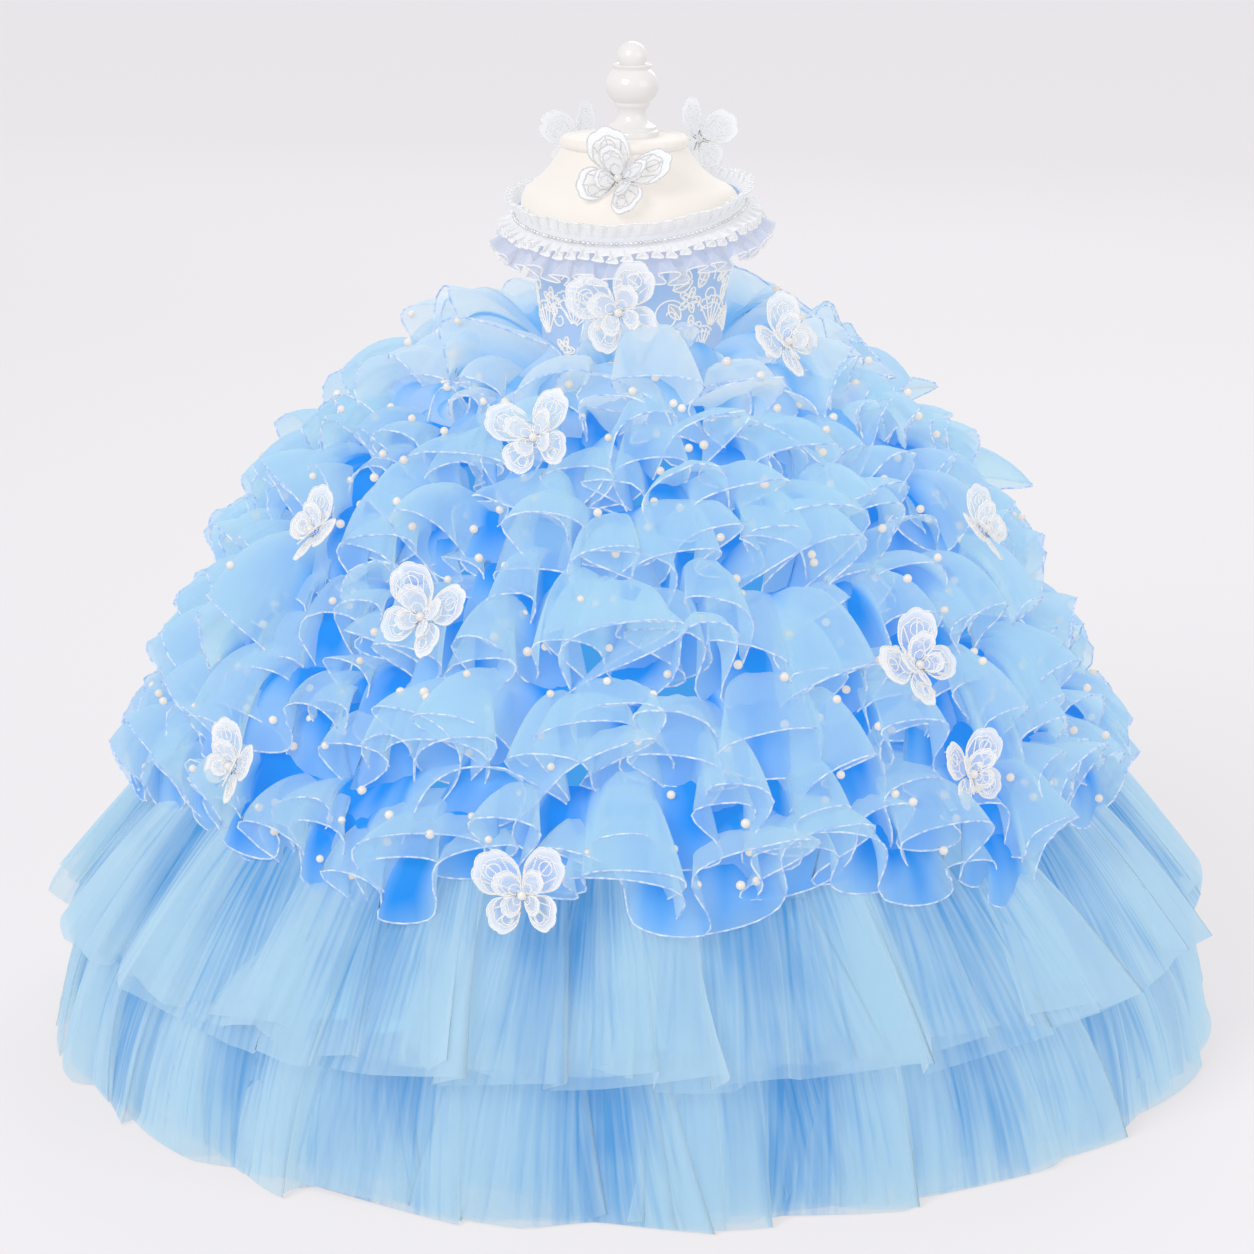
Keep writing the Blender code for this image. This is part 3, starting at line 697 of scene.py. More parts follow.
def cloth_material(
    name, seam, edge, alpha=(1.0, 1.0), roughness=0.6, sheen=0.0, threads=2500.0, mottling=0.12,
    graze=0.5, bump=0.00005, through=0.0, sheer_from=0.0, painted_crest_shade=0.0, creases=0.0, painted_crease_depth=0.0,
    stretch=7.0,
):
    """A cloth that goes from one colour at the seam to another at the free edge, as its alpha does. In the
    sheer cloths the darker seam colour is painted shade of the deep folds.

    graze is how much denser it is when seen along its face, through is the share of the light that the
    threads pass on to the other side, and sheer_from is where along the strip it starts to be sheer. The
    fold shade says how much paler a fold's ridge is painted than its valley, and the crease depth how
    strongly the painted shade and highlight of the creases that run from the seam to the edge show."""
    made = bpy.data.materials.new(name)
    made.use_nodes = True
    tree = made.node_tree
    shader = tree.nodes["Principled BSDF"]
    across = add(tree, "ShaderNodeAttribute", attribute_name="across").outputs["Fac"]
    clouds = group_node(tree, mottle, Scale=MOTTLE_SCALE, Low=-mottling, High=mottling)
    # Painted shade: fold ridges paler, valleys darker.
    if painted_crest_shade:
        high = add(tree, "ShaderNodeAttribute", attribute_name="painted_crest_shade").outputs["Fac"]
        across = calc(tree, "MULTIPLY_ADD", calc(tree, "SUBTRACT", high, 0.5), painted_crest_shade, across)
    # Painted crease lines of shade and highlight.
    if creases:
        crease = group_node(tree, painted_crease_streaks, Creases_per_metre=creases, Stretch=stretch)
        across = calc(tree, "MULTIPLY_ADD", crease, painted_crease_depth, across)
    share = calc(tree, "ADD", across, clouds, clamp=True)
    # The seam-to-edge colour: painted shade of the deep folds in the sheer cloths, with the cloth's mottled
    # tone.
    dye_and_painted_shade = blend_colours(tree, share, (*seam, 1.0), (*edge, 1.0))
    plug(tree, shader.inputs["Base Color"], dye_and_painted_shade)
    if through:
        glow = add(tree, "ShaderNodeBsdfTranslucent", {"Color": dye_and_painted_shade}).outputs[0]
        mixed = add(tree, "ShaderNodeMixShader", {0: through, 1: shader.outputs[0], 2: glow})
        plug(tree, tree.nodes["Material Output"].inputs["Surface"], mixed.outputs[0])
    shader.inputs["Roughness"].default_value = roughness
    shader.inputs["Sheen Weight"].default_value = sheen
    shader.inputs["Specular IOR Level"].default_value = CLOTH_SPECULAR
    if min(alpha) < 1.0:
        facing = add(tree, "ShaderNodeLayerWeight", {"Blend": GRAZING}).outputs["Facing"]
        plain = add(tree, "ShaderNodeMapRange", {
            "Value": share,
            "From Min": sheer_from,
            "To Min": alpha[0],
            "To Max": alpha[1],
        }).outputs[0]
        plug(tree, shader.inputs["Alpha"], calc(tree, "MULTIPLY_ADD", facing, graze, plain, clamp=True))
    height = group_node(tree, weave, Threads_per_metre=threads)
    plug(tree, shader.inputs["Normal"], bumped(tree, height, bump, WEAVE_STRENGTH))
    return made


# The sheer cloths' darker seam colours are painted shade of the deep folds, and their fold ridges and
# crease lines are painted shade and highlight.
organza = cloth_material(
    "organza", (0.015, 0.35, 0.96), (0.62, 0.87, 1.0), alpha=(1.0, 0.35), roughness=0.5, graze=0.4,
    through=0.4, sheer_from=0.3, painted_crest_shade=1.1, creases=64.0, painted_crease_depth=0.28,
)
pale_organza = cloth_material(
    "pale_organza", (0.24, 0.58, 0.98), (0.82, 0.94, 1.0), alpha=(1.0, 0.35), roughness=0.5, graze=0.4,
    through=0.4, sheer_from=0.25, painted_crest_shade=0.9, creases=64.0, painted_crease_depth=0.34,
)
tulle = cloth_material(
    "tulle", (0.10, 0.39, 0.77), (0.60, 0.81, 0.94), alpha=(0.62, 0.32), roughness=0.8, threads=900.0,
    graze=0.6, through=0.3, painted_crest_shade=1.05, creases=240.0, painted_crease_depth=0.36, stretch=26.0,
)
dense_tulle = cloth_material(
    "dense_tulle", (0.09, 0.36, 0.74), (0.38, 0.68, 0.90), roughness=0.8, threads=900.0,
    through=0.2, painted_crest_shade=1.0, creases=180.0, painted_crease_depth=0.4, stretch=26.0,
)
lining = cloth_material("lining", (0.045, 0.36, 0.92), (0.06, 0.38, 0.90))
satin = cloth_material(
    "satin", (0.31, 0.49, 0.81), (0.38, 0.55, 0.84), roughness=0.36, sheen=0.1, threads=3200.0,
    mottling=0.3,
)
# Its crease lines are painted shade and highlight.
white_organza = cloth_material(
    "white_organza", (0.60, 0.65, 0.82), (0.74, 0.78, 0.90), alpha=(0.85, 0.5), roughness=0.45,
    graze=0.35, through=0.25, creases=120.0, painted_crease_depth=0.2,
)
wing_lace = cloth_material(
    "wing_lace", (0.76, 0.81, 0.90), (0.86, 0.88, 0.92), alpha=(0.3, 0.9), sheen=0.2, threads=1100.0,
    mottling=0.06, bump=0.0003, sheer_from=0.7,
)
lace = cloth_material(
    "lace", (0.78, 0.80, 0.85), (0.86, 0.87, 0.91), alpha=(0.9, 0.72), roughness=0.7, sheen=0.2,
    threads=1100.0, mottling=0.3, bump=0.0003,
)
lace_patch = cloth_material(
    "lace_patch", (0.62, 0.72, 0.88), (0.62, 0.72, 0.88), alpha=(0.75, 0.74), roughness=0.7, sheen=0.2,
    threads=1100.0, bump=0.0003,
)
form_cloth = cloth_material(
    "form_cloth", (0.82, 0.775, 0.73), (0.84, 0.80, 0.76), roughness=0.9, sheen=0.5, threads=1500.0,
    mottling=0.5, bump=0.0001,
)

# %% Cords, pearls and hard finishes


def hard_material(name, first, second, roughness, scale, coat=0.0, metallic=0.0, bump=0.0):
    """A finish that is mottled between two colours, in spots that are smaller with a larger scale."""
    made = bpy.data.materials.new(name)
    made.use_nodes = True
    tree = made.node_tree
    shader = tree.nodes["Principled BSDF"]
    share = group_node(tree, mottle, Scale=scale)
    plug(tree, shader.inputs["Base Color"], blend_colours(tree, share, (*first, 1.0), (*second, 1.0)))
    shader.inputs["Roughness"].default_value = roughness
    shader.inputs["Coat Weight"].default_value = coat
    shader.inputs["Metallic"].default_value = metallic
    if bump:
        plug(tree, shader.inputs["Normal"], bumped(tree, share, bump))
    return made


edge_cord = hard_material("edge_cord", (0.28, 0.48, 0.90), (0.72, 0.83, 0.98), 0.55, 260.0, bump=0.0003)
white_cord = hard_material("white_cord", (0.80, 0.82, 0.86), (0.94, 0.95, 0.96), 0.6, 900.0, bump=0.0003)
pearl = hard_material("pearl", (0.70, 0.68, 0.66), (0.82, 0.80, 0.78), 0.18, 60.0, coat=0.6)
gloss = hard_material("gloss", (0.74, 0.725, 0.72), (0.78, 0.765, 0.76), 0.16, 20.0, coat=0.8)
grey_cord = hard_material("grey_cord", (0.60, 0.60, 0.63), (0.80, 0.80, 0.82), 0.45, 900.0, bump=0.0003)
steel = hard_material("steel", (0.78, 0.78, 0.80), (0.85, 0.85, 0.86), 0.42, 40.0, coat=0.1)
silver = hard_material("silver", (0.62, 0.62, 0.64), (0.88, 0.88, 0.90), 0.25, 300.0, metallic=0.5)
print("finishes", len(bpy.data.materials))

# %% [markdown]
# ## The dress form
# The bust is a padded shape under cloth, closed at the neck by a rolled band. The finial is turned wood
# under white lacquer. Both are bodies of revolution or nearly so, and rings of points through the same
# tables as the solids make them. The post and the foot are hidden by the skirt, and their solids stay.

# %% Turned pieces


def turned_object(name, profile, sides, material, centre=(0.0, 0.0)):
    """A lathe: the profile goes from the top to the bottom and starts and ends on the axis."""
    chain = np.asarray(profile, float)
    turn = even_turns(sides)
    rings = on_circle(turn[None, :], chain[1:-1, :1], chain[1:-1, 1:])
    vertices = np.vstack([[(0.0, 0.0, chain[0, 1])], rings.reshape(-1, 3), [(0.0, 0.0, chain[-1, 1])]])
    vertices += (*centre, 0.0)
    faces = []
    count = len(chain) - 2
    for side in range(sides):
        beside = (side + 1) % sides
        faces.append((0, 1 + side, 1 + beside))
        for ring in range(count - 1):
            a, b = 1 + ring * sides + side, 1 + ring * sides + beside
            faces.append((a, a + sides, b + sides, b))
        last = 1 + (count - 1) * sides
        faces.append((len(vertices) - 1, last + beside, last + side))
    mesh = bpy.data.meshes.new(name)
    mesh.from_pydata((vertices * MM).tolist(), [], faces)
    mesh.shade_smooth()
    mesh.set_sharp_from_angle(angle=math.radians(40))
    return new_object(name, mesh, material)


def arc(radius, centre_z, half_height, start, end, steps):
    """Points of an upright ellipse's right side, by angles in degrees from its widest level."""
    angle = np.radians(np.linspace(start, end, steps))
    return np.stack([radius * np.cos(angle), centre_z + half_height * np.sin(angle)], -1)


# %% Finial
# Each point is a radius and a level, from the top of the ball down to the seat
FINIAL_SEAT = 546.3
FINIAL_SIDES = 72
ball = arc(8.9, 593.0, 8.9, 90.0, -32.0, 16)
ball[0, 0] = 0.0
collar = [(9.4, 588.8), (11.2, 588.7), (11.7, 588.1), (11.6, 587.4), (11.0, 586.6)]
bowl = arc(15.9, 576.0, 13.0, 48.0, -48.0, 20)
stem_points = [(10.6, 565.8), (10.6, 564.4), (8.6, 562.0), (8.2, 558.5), (9.8, 554.6), (14.2, 551.8)]
stem = cut_corners(stem_points, 2)
cap = [(14.2, 551.6), (14.4, 549.8), (15.6, 549.4), (15.9, 549.0), (15.9, FINIAL_SEAT), (0.0, FINIAL_SEAT)]
finial = turned_object("finial", np.vstack([ball, collar, bowl, stem, cap]), FINIAL_SIDES, gloss)
finish_piece(finial, "white_gloss", "form_finial")
print("finial", len(finial.data.polygons), "faces")

# %% Bust
BUST_SIDES = 96
NECK_LEAN = -4.6
NECK_CENTRE = (NECK_LEAN, 0.0, 540.6)
BOTTOM_CENTRE = (0.0, 0.0, 384.0)
turn = even_turns(BUST_SIDES)
levels = SMOOTH_BUST[::-1, 0]
between = [np.linspace(upper, lower, 3, endpoint=False) for upper, lower in zip(levels, levels[1:])]
rings = on_bust(turn[None, :], np.concatenate(between)[:, None], 0.0)
bust_grid = np.concatenate([
    np.broadcast_to(NECK_CENTRE, (1, BUST_SIDES, 3)),
    rings,
    np.broadcast_to(BOTTOM_CENTRE, (1, BUST_SIDES, 3)),
])
bust = sheet_object("bust", bust_grid, form_cloth)
finish_piece(bust, "form_cloth", "form_bust")
print("bust", len(bust.data.polygons), "faces")

# %% Rolled band and top of the neck
BAND_RADIUS = 35.4
BAND_LEVEL = 543.0
BAND_HALF_THICKNESS = 3.0
NECK_TOP = [(0.0, 545.6), (20.0, 545.6), (35.0, 545.2), (35.0, 541.0), (0.0, 541.0)]
NECK_TOP_SIDES = 48
section = even_turns(16)
band_turn = even_turns(120)
wrinkle = 0.25 * np.sin(31 * band_turn) + 0.2 * np.sin(47 * band_turn + 1.0)
radius = BAND_RADIUS + (BAND_HALF_THICKNESS + wrinkle[None, :]) * np.cos(section)[:, None]
band_z = BAND_LEVEL + (BAND_HALF_THICKNESS + wrinkle[None, :] * 0.5) * np.sin(section)[:, None]
band_grid = on_circle(band_turn[None, :], radius, band_z) + (NECK_LEAN, 0.0, 0.0)
closed_grid = np.concatenate([band_grid, band_grid[:1]])
band = sheet_object("neck_band", closed_grid, form_cloth, rows_go_down=False)
finish_piece(band, "form_cloth")
neck_top = turned_object("neck_top", NECK_TOP, NECK_TOP_SIDES, form_cloth, (NECK_LEAN, 0.0))
finish_piece(neck_top, "form_cloth")
for name in ("stand_post", "stand_foot"):
    node = bpy.data.objects[name]
    node.data.materials.clear()
    node.data.materials.append(steel)
print("neck band", len(band.data.polygons), "faces")

# %% [markdown]
# ## The bodice
# Two satin panels are seamed at the sides. They lie on the bust with a little ease, and their top edge
# follows the neckline, which is low in front and higher at one shoulder. The lace on them is corded: a
# cord outlines each scroll, leaf, flower and fan, and a fine net fills it.

# %% Panels
BODICE_ROWS = 22
BODICE_COLUMNS = 72
PANEL_HALF_TURN = math.pi / 2 - 0.004
SATIN_THICKNESS = 0.9


def bodice_grid(middle, outward):
    """Half of the bodice, from side seam to side seam and from the neckline down to the waist."""
    turn = middle + np.linspace(-PANEL_HALF_TURN, PANEL_HALF_TURN, BODICE_COLUMNS)
    share = np.linspace(1.0, 0.0, BODICE_ROWS)[:, None]
    z = WAIST + (neckline(turn)[None, :] - WAIST) * share
    return on_bust(turn[None, :], z, outward)


for name, middle in (("bodice_front", 0.0), ("bodice_back", math.pi)):
    grid = bodice_grid(middle, BODICE_OUTWARD)
    panel = sheet_object(name + "_satin", grid, satin, closed=False)
    wall = panel.modifiers.new("wall", "SOLIDIFY")
    wall.thickness = SATIN_THICKNESS * MM
    wall.offset = 0.0
    finish_piece(panel, "satin", name)
    declare_sheet(panel, grid, closed=False)

# %% [markdown]
# ## Underskirt
# The lining bell hangs from the waist. Only its colour shows, deep between the ruffles, and it carries
# every strip that is sewn to it.

# %% Lining bell
BELL_SIDES = 144
BELL_GATHERS = 36
BELL_GATHER_DEPTH = 0.4
turn = even_turns(BELL_SIDES)
skirt_rows = SMOOTH_SKIRT[:, :, None]
soft_gathers = BELL_GATHER_DEPTH * np.sin(BELL_GATHERS * turn)[None, :]
bell_grid = on_circle(turn[None, :], skirt_rows[:, 0] + soft_gathers, skirt_rows[:, 1])
bell_grid[0] = on_bust(turn, UNDERSKIRT[0, 1], BODICE_OUTWARD)
bell = sheet_object("underskirt_lining", bell_grid, lining)
finish_piece(bell, "lining", "underskirt")
declare_sheet(bell, bell_grid)

# %% [markdown]
# ## Gathered strips
# A strip that is much longer than its seam stands in waves, and they grow towards the free edge. Where
# the edge sways along the seam as well as across it, it turns over itself and makes the round loops that
# organza with a stiff corded edge makes. A grid follows the seam, the bend and the edge of the table,
# and the gather tree folds it.

# %% Cloth under the butterflies
LACE_HALF = 0.7
FLATTEN_WIDTH = 34.0
FLATTEN_DEPTH = 15.0
FLATTEN_REACH = 1.4
WING_TOP = 0.44 * math.sin(math.radians(64.0))


def butterfly_place(butterfly):
    """The turn of the butterfly's plane, and the point of the model where its body lies."""
    upright = Matrix.Rotation(math.radians(90.0), 3, "X")
    lean = Matrix.Rotation(-math.radians(butterfly.tilt), 3, "X")
    turn = Matrix.Rotation(math.radians(butterfly.turn), 3, "Z")
    facing = np.array(turn @ lean @ upright @ Matrix.Rotation(math.radians(butterfly.roll), 3, "Z"))
    mesh = bpy.data.objects[butterfly.name].data
    flat = np.empty(len(mesh.vertices) * 3, np.float32)
    mesh.vertices.foreach_get("co", flat)
    local = flat.reshape(-1, 3).astype(float) / MM @ facing
    low, high = local.min(0), local.max(0)
    centre = np.array([(low[0] + high[0]) / 2, high[1] - WING_TOP * butterfly.span, low[2] + LACE_HALF])
    return facing, facing @ centre


PLACES = {butterfly.name: butterfly_place(butterfly) for butterfly in BUTTERFLIES}


def flattened(turn, radius, z):
    """From 0 to 1, how far the cloth is pressed down here by a butterfly that is sewn on it."""
    share = 0 * turn
    for _, centre in PLACES.values():
        if abs(centre[2] - z) < FLATTEN_REACH * FLATTEN_WIDTH:
            gap = np.angle(np.exp(1j * (turn - math.atan2(centre[0], -centre[1])))) * radius
            share = np.maximum(share, np.exp(-((gap / FLATTEN_WIDTH) ** 2)))
    return share


print("butterflies placed", len(PLACES))

# %% Base of a strip
SEAM_OUTWARD = 1.6
SEAM_UP = 1.0
FRONT_DIP = {"ruffle_1": 8.0}
DIP_HALF_TURN = 0.5
SINK = {
    "ruffle_1": 15.0,
    "ruffle_2": 15.0,
    "ruffle_3": 11.0,
    "ruffle_4": 8.0,
    "ruffle_5": 9.0,
    "ruffle_6": 8.0,
}
LONG_MEANDER = 4.0
Ply = namedtuple("Ply", "name more_waves reach away hem shift meander lean depth_share sway droop ripple")


def strip_line(flounce, t):
    """Points of the smooth line from the seam over the bend to the edge, and its direction there."""
    seam = (skirt_radius(flounce.seam) + SEAM_OUTWARD, flounce.seam + SEAM_UP)
    corners = np.array([
        seam,
        (flounce.bend_radius, flounce.bend_z),
        (flounce.edge_radius, flounce.edge_z),
    ])
    shares = np.stack([2 * (t - 0.5) * (t - 1), 4 * t * (1 - t), 2 * t * (t - 0.5)], -1)
    slopes = np.stack([4 * t - 3, 4 - 8 * t, 4 * t - 1], -1)
    return shares @ corners, slopes @ corners


def strip_base(flounce, ply, columns, rows):
    """The grid of an ungathered strip, and what the gather tree needs on its points."""
    seed = flounce.seed + ply.shift
    turn = even_turns(columns)
    across = np.linspace(0.0, 1.0, rows)
    line, along = strip_line(flounce, across * ply.reach)
    along /= np.linalg.norm(along, axis=1, keepdims=True)
    climb = ply.meander * (sines(CLIMB, turn, seed) - 0.6)
    spread = skirt_radius(flounce.seam + climb) - skirt_radius(flounce.seam)
    outward = np.stack([-along[:, 1], along[:, 0]], -1)
    from_front = np.minimum(turn, FULL_TURN - turn)
    dip = FRONT_DIP.get(flounce.name, 0.0) * np.exp(-((from_front / DIP_HALF_TURN) ** 2))
    under = flattened(turn, flounce.edge_radius, flounce.edge_z)
    pressed = under if ply.meander > LONG_MEANDER else 0 * turn
    sunk = (dip + SINK.get(flounce.name, 0.0)) * (1.0 - under) + FLATTEN_DEPTH * pressed
    lift = across[:, None] * (sines(SWELL, turn) + ply.away - sunk)[None, :]
    reach_on = across[:, None] ** 2 * ply.hem * sines(HEM, turn, flounce.seed)[None, :]
    radius = line[:, :1] + outward[:, :1] * lift + along[:, :1] * reach_on + spread[None, :]
    z = line[:, 1:] + outward[:, 1:] * lift + along[:, 1:] * reach_on + climb[None, :]
    grid = on_circle(turn[None, :], radius, z)
    phase = phase_at(turn, flounce.waves + ply.more_waves, seed) + ply.shift
    phase += flounce.crowding * sines(CROWDING, turn, seed)
    full = 1.0 + sines(FULLNESS, turn, flounce.seed) + sines(UNEVENNESS, turn, seed)
    return grid, {
        "phase": phase[None, :],
        # Painted shade mask: fold ridges painted paler, valleys darker.
        "painted_crest_shade": 0.5 + 0.5 * np.sin(phase)[None, :],
        "fullness": (full * (1.0 - 0.7 * pressed))[None, :],
        "lean": ply.lean * sines(LEAN, turn, seed)[None, :],
    }, {
        "lift_way": on_circle(turn[None, :], outward[:, :1], outward[:, 1:]),
        "down_way": on_circle(turn[None, :], along[:, :1], along[:, 1:]),
        "side_way": np.stack([np.cos(turn), np.sin(turn), 0 * turn], -1)[None],
    }


def gathered(name, base, rows, material, rows_go_down=True, **sizes):
    """The strip after the gather tree, and its points as a grid."""
    grid, numbers, vectors = base
    strip = sheet_object(name, grid, material, numbers=numbers, vectors=vectors, rows_go_down=rows_go_down)
    grow(strip, gather, Material=material, **{label: size * MM for label, size in sizes.items()})
    for label in ("phase", "fullness", "lean", *vectors):
        strip.data.attributes.remove(strip.data.attributes[label])
    return strip, points_of(strip, rows)


# %% Ruffles
RUFFLE_ROWS = 13
COLUMNS_PER_WAVE = 27
WRINKLE = 0.9
RUFFLE_CORD_RADIUS = 0.55
PEARL_RADIUS = 2.5
PEARLS_A_WAVE = 1.5
PEARL_ROWS = 6
PEARL_OFF_CLOTH = 2.2
PLIES = [
    Ply("long", 0, 1.02, -3.0, 9.0, 0.0, LONG_MEANDER, 1.2, 1.0, 13.0, 14.0, 2.0),
    Ply("middle", -4, 0.93, -1.0, 10.0, 1.9, 11.0, 2.0, 1.1, 15.0, 18.0, 2.5),
    Ply("short", -1, 0.78, 3.0, 9.0, 4.2, 12.0, 2.0, 1.0, 13.0, 15.0, 2.5),
    Ply("fine", 5, 0.90, 1.0, 9.0, 3.1, 15.0, 1.7, 0.85, 10.0, 13.0, 2.5),
]
chance = np.random.default_rng(11)


def pearl_spots(grid, count, inset):
    """Places near the free edge of a strip, just off the cloth on the side that looks outward."""
    rows, columns = grid.shape[:2]
    spots = []
    for k in range(count):
        column = int((k + chance.uniform(0.1, 0.9)) * columns / count) % columns
        row = rows - 1 - int(chance.integers(1, inset))
        here = grid[row, column]
        side = grid[row, (column + 1) % columns] - grid[row, column - 1]
        down = grid[min(row + 1, rows - 1), column] - grid[row - 1, column]
        normal = np.cross(down, side)
        normal /= np.linalg.norm(normal)
        out = here * (1.0, 1.0, 0.0)
        out /= np.linalg.norm(out)
        if normal @ (out + (0.0, 0.0, 0.5)) < 0:
            normal = -normal
        spots.append(here + normal * PEARL_OFF_CLOTH)
    return spots


for flounce in RUFFLES:
    for ply in PLIES:
        columns = (flounce.waves + ply.more_waves) * COLUMNS_PER_WAVE
        base = strip_base(flounce, ply, columns, RUFFLE_ROWS)
        name = f"{flounce.name}_{ply.name}"
        cloth = pale_organza if flounce is RUFFLES[0] else organza
        strip, grid = gathered(
            name, base, RUFFLE_ROWS, cloth,
            Depth=flounce.depth * ply.depth_share,
            Sway=ply.sway,
            Ripple=ply.ripple,
            Droop=ply.droop,
            Wrinkle=WRINKLE,
        )
        nodes = [flounce.name] if ply.name == "long" else []
        finish_piece(strip, "organza", *nodes)
        edging = cord_object(name + "_cord", [grid[-1]], RUFFLE_CORD_RADIUS, edge_cord)
        finish_piece(edging, "organza")
        spots = pearl_spots(grid, int(flounce.waves * PEARLS_A_WAVE), PEARL_ROWS)
        sewn = pearls_object(name + "_pearls", spots, PEARL_RADIUS, pearl)
        finish_piece(sewn, "white_gloss")
        declare_sheet(strip, grid)
print("ruffle plies", len(RUFFLES) * len(PLIES))

# %% [markdown]
# ## Net tiers
# Net is cut in several layers and pleated by hand: flat fans between sharp folds, each of its own width,
# with a hem that steps up and down from fan to fan. A fold shows as a bright line, because there the net
# is seen along its face, and the fans carry painted shade too, paler where they fold out and on the tops
# of the broad waves, darker where they fold in. The folds are too uneven for one wave, so a list of random
# breaks makes them.

# %% Pleated layers
TULLE_ROWS = 13
FAN_COLUMNS = 8
FOLD_DRIFT = 0.035
FAN_WIDTHS = (0.45, 1.6)
FOLD_HEIGHTS = (0.4, 1.1)
SLIP_SHARES = (0.3, 1.2)
SLIP_OUT = 0.8
SLIP_IN = -0.5
HEM_STEP = 8.0
BROAD_SHARE = 0.55
LOWEST_HEM = 1.2
NetLayer = namedtuple("NetLayer", "fans fold away hem seed")
LAYERS = [
    NetLayer(92, 3.0, -18.0, 8.0, 1),
    NetLayer(84, 5.5, -4.0, 0.0, 2),
    NetLayer(76, 6.5, 0.0, -5.0, 3),
    NetLayer(64, 7.5, 4.0, -10.0, 4),
]


def pleated_grid(flounce, layer):
    """A net layer: fold lines at random turns, out and in by turns, with an uneven hem."""
    chance = np.random.default_rng(layer.seed + int(flounce.seam))
    widths = chance.uniform(*FAN_WIDTHS, layer.fans)
    breaks = np.concatenate([[0.0], np.cumsum(widths)]) * FULL_TURN / widths.sum()
    mean_width = FULL_TURN / layer.fans
    out = np.where(np.arange(layer.fans) % 2 == 0, 1.0, -1.0) * chance.uniform(*FOLD_HEIGHTS, layer.fans)
    slip = np.where(out > 0, SLIP_OUT, SLIP_IN) * mean_width * chance.uniform(*SLIP_SHARES, layer.fans)
    slip += chance.normal(0.0, 0.3 * FOLD_DRIFT, layer.fans)
    hem = chance.uniform(-HEM_STEP, HEM_STEP, layer.fans)
    out, slip, hem = (np.append(values, values[0]) for values in (out, slip, hem))
    steps = np.linspace(0.0, 1.0, FAN_COLUMNS, endpoint=False)
    share = np.tile(steps, layer.fans)
    first = np.repeat(np.arange(layer.fans), FAN_COLUMNS)
    rounded = 0.5 * share + 0.25 * (1.0 - np.cos(math.pi * share))

    def mixed(values):
        return values[first] * (1 - rounded) + values[first + 1] * rounded

    turn = mixed(breaks)
    across = np.linspace(0.0, 1.0, TULLE_ROWS)
    line, _ = strip_line(flounce, across)
    t = across[:, None]
    broad = BROAD_SHARE * flounce.depth * np.sin(phase_at(turn, flounce.waves, flounce.seed))
    bulge = t * (mixed(out) * layer.fold + broad + layer.away)
    radius = line[:, :1] + bulge
    z = line[:, 1:] + t ** 3 * (mixed(hem) + layer.hem + 0.4 * np.abs(broad)) + 0.35 * bulge
    wander = FOLD_DRIFT * (np.sin(9 * turn + layer.seed * 2.0) + np.sin(17 * turn + layer.seed * 5.0))
    full_turn = turn + t * (mixed(slip) + wander * (0.4 + 0.6 * t))
    # Painted shade: outward folds and the tops of the broad waves paler, inward folds darker.
    painted_crest_shade = 0.5 + 0.3 * mixed(out) + 0.3 * broad / (BROAD_SHARE * flounce.depth)
    return on_circle(full_turn, radius, np.maximum(z, LOWEST_HEM)), painted_crest_shade[None, :]


for flounce in TULLES:
    for number, layer in enumerate(LAYERS, 1):
        grid, painted_crest_shade = pleated_grid(flounce, layer)
        cloth = dense_tulle if number == 1 else tulle
        net = sheet_object(f"{flounce.name}_net_{number}", grid, cloth, numbers={"painted_crest_shade": painted_crest_shade})
        nodes = [flounce.name] if number == 1 else []
        finish_piece(net, "tulle", *nodes)
        declare_sheet(net, grid)
print("net layers", len(TULLES) * len(LAYERS))

# %% [markdown]
# ## Neck frills
# Three strips are gathered to the top of the bodice: a narrow lace frill that stands up, a short lace
# frill that falls below a row of small silver beads, and a wider one of white organza with a corded edge.

# %% Frills
FRILL_ROWS = 10
COLUMNS_PER_FRILL_WAVE = 20
SLOW_SHARE = 0.5
FRILL_RIPPLE = 0.4
FRILL_DROOP = 1.2
FRILL_CORD_RADIUS = 0.45
FINISHED_WIDTH = {"frill_short_lace": 11.0, "frill_organza": 20.5}
Finish = namedtuple("Finish", "material slot finer depth sway")
FRILL_FINISHES = {
    "frill_standing_lace": Finish(lace, "lace", 4, 1.8, 2.2),
    "frill_short_lace": Finish(lace, "lace", 4, 2.0, 2.4),
    "frill_organza": Finish(white_organza, "white_organza", 2, 4.5, 4.5),
}


def frill_base(frill, finer, columns, rows):
    """The slow waves of the table are in the grid, and the finer ones are left to the gather tree."""
    turn = even_turns(columns)
    across = np.linspace(0.0, 1.0, rows)[:, None]
    z = neckline(turn)[None, :] - frill.drop
    width = FINISHED_WIDTH.get(frill.name, frill.width)
    slow = SLOW_SHARE * frill.depth * across * np.sin(phase_at(turn, frill.waves, frill.seed))[None, :]
    outward = FRILL_OUTWARD + across * width * frill.outward - slow * frill.upward
    grid = on_bust(turn[None, :], z + 0 * across, outward)
    grid[..., 2] += across * width * frill.upward + slow * frill.outward
    phase = phase_at(turn, frill.waves * finer, frill.seed)
    up = np.full((rows, 1), frill.upward)
    out = np.full((rows, 1), frill.outward)
    return grid, {
        "phase": phase[None, :],
        # The same painted fold shade mask as on the ruffles; the frills' finishes don't read it.
        "painted_crest_shade": 0.5 + 0.5 * np.sin(phase)[None, :],
        "fullness": 1.0 + sines(FULLNESS, turn, frill.seed)[None, :],
        "lean": sines(FRILL_LEAN, turn, frill.seed)[None, :],
    }, {
        "lift_way": on_circle(turn[None, :], -up, out),
        "down_way": on_circle(turn[None, :], out, up),
        "side_way": np.stack([np.cos(turn), np.sin(turn), 0 * turn], -1)[None],
    }


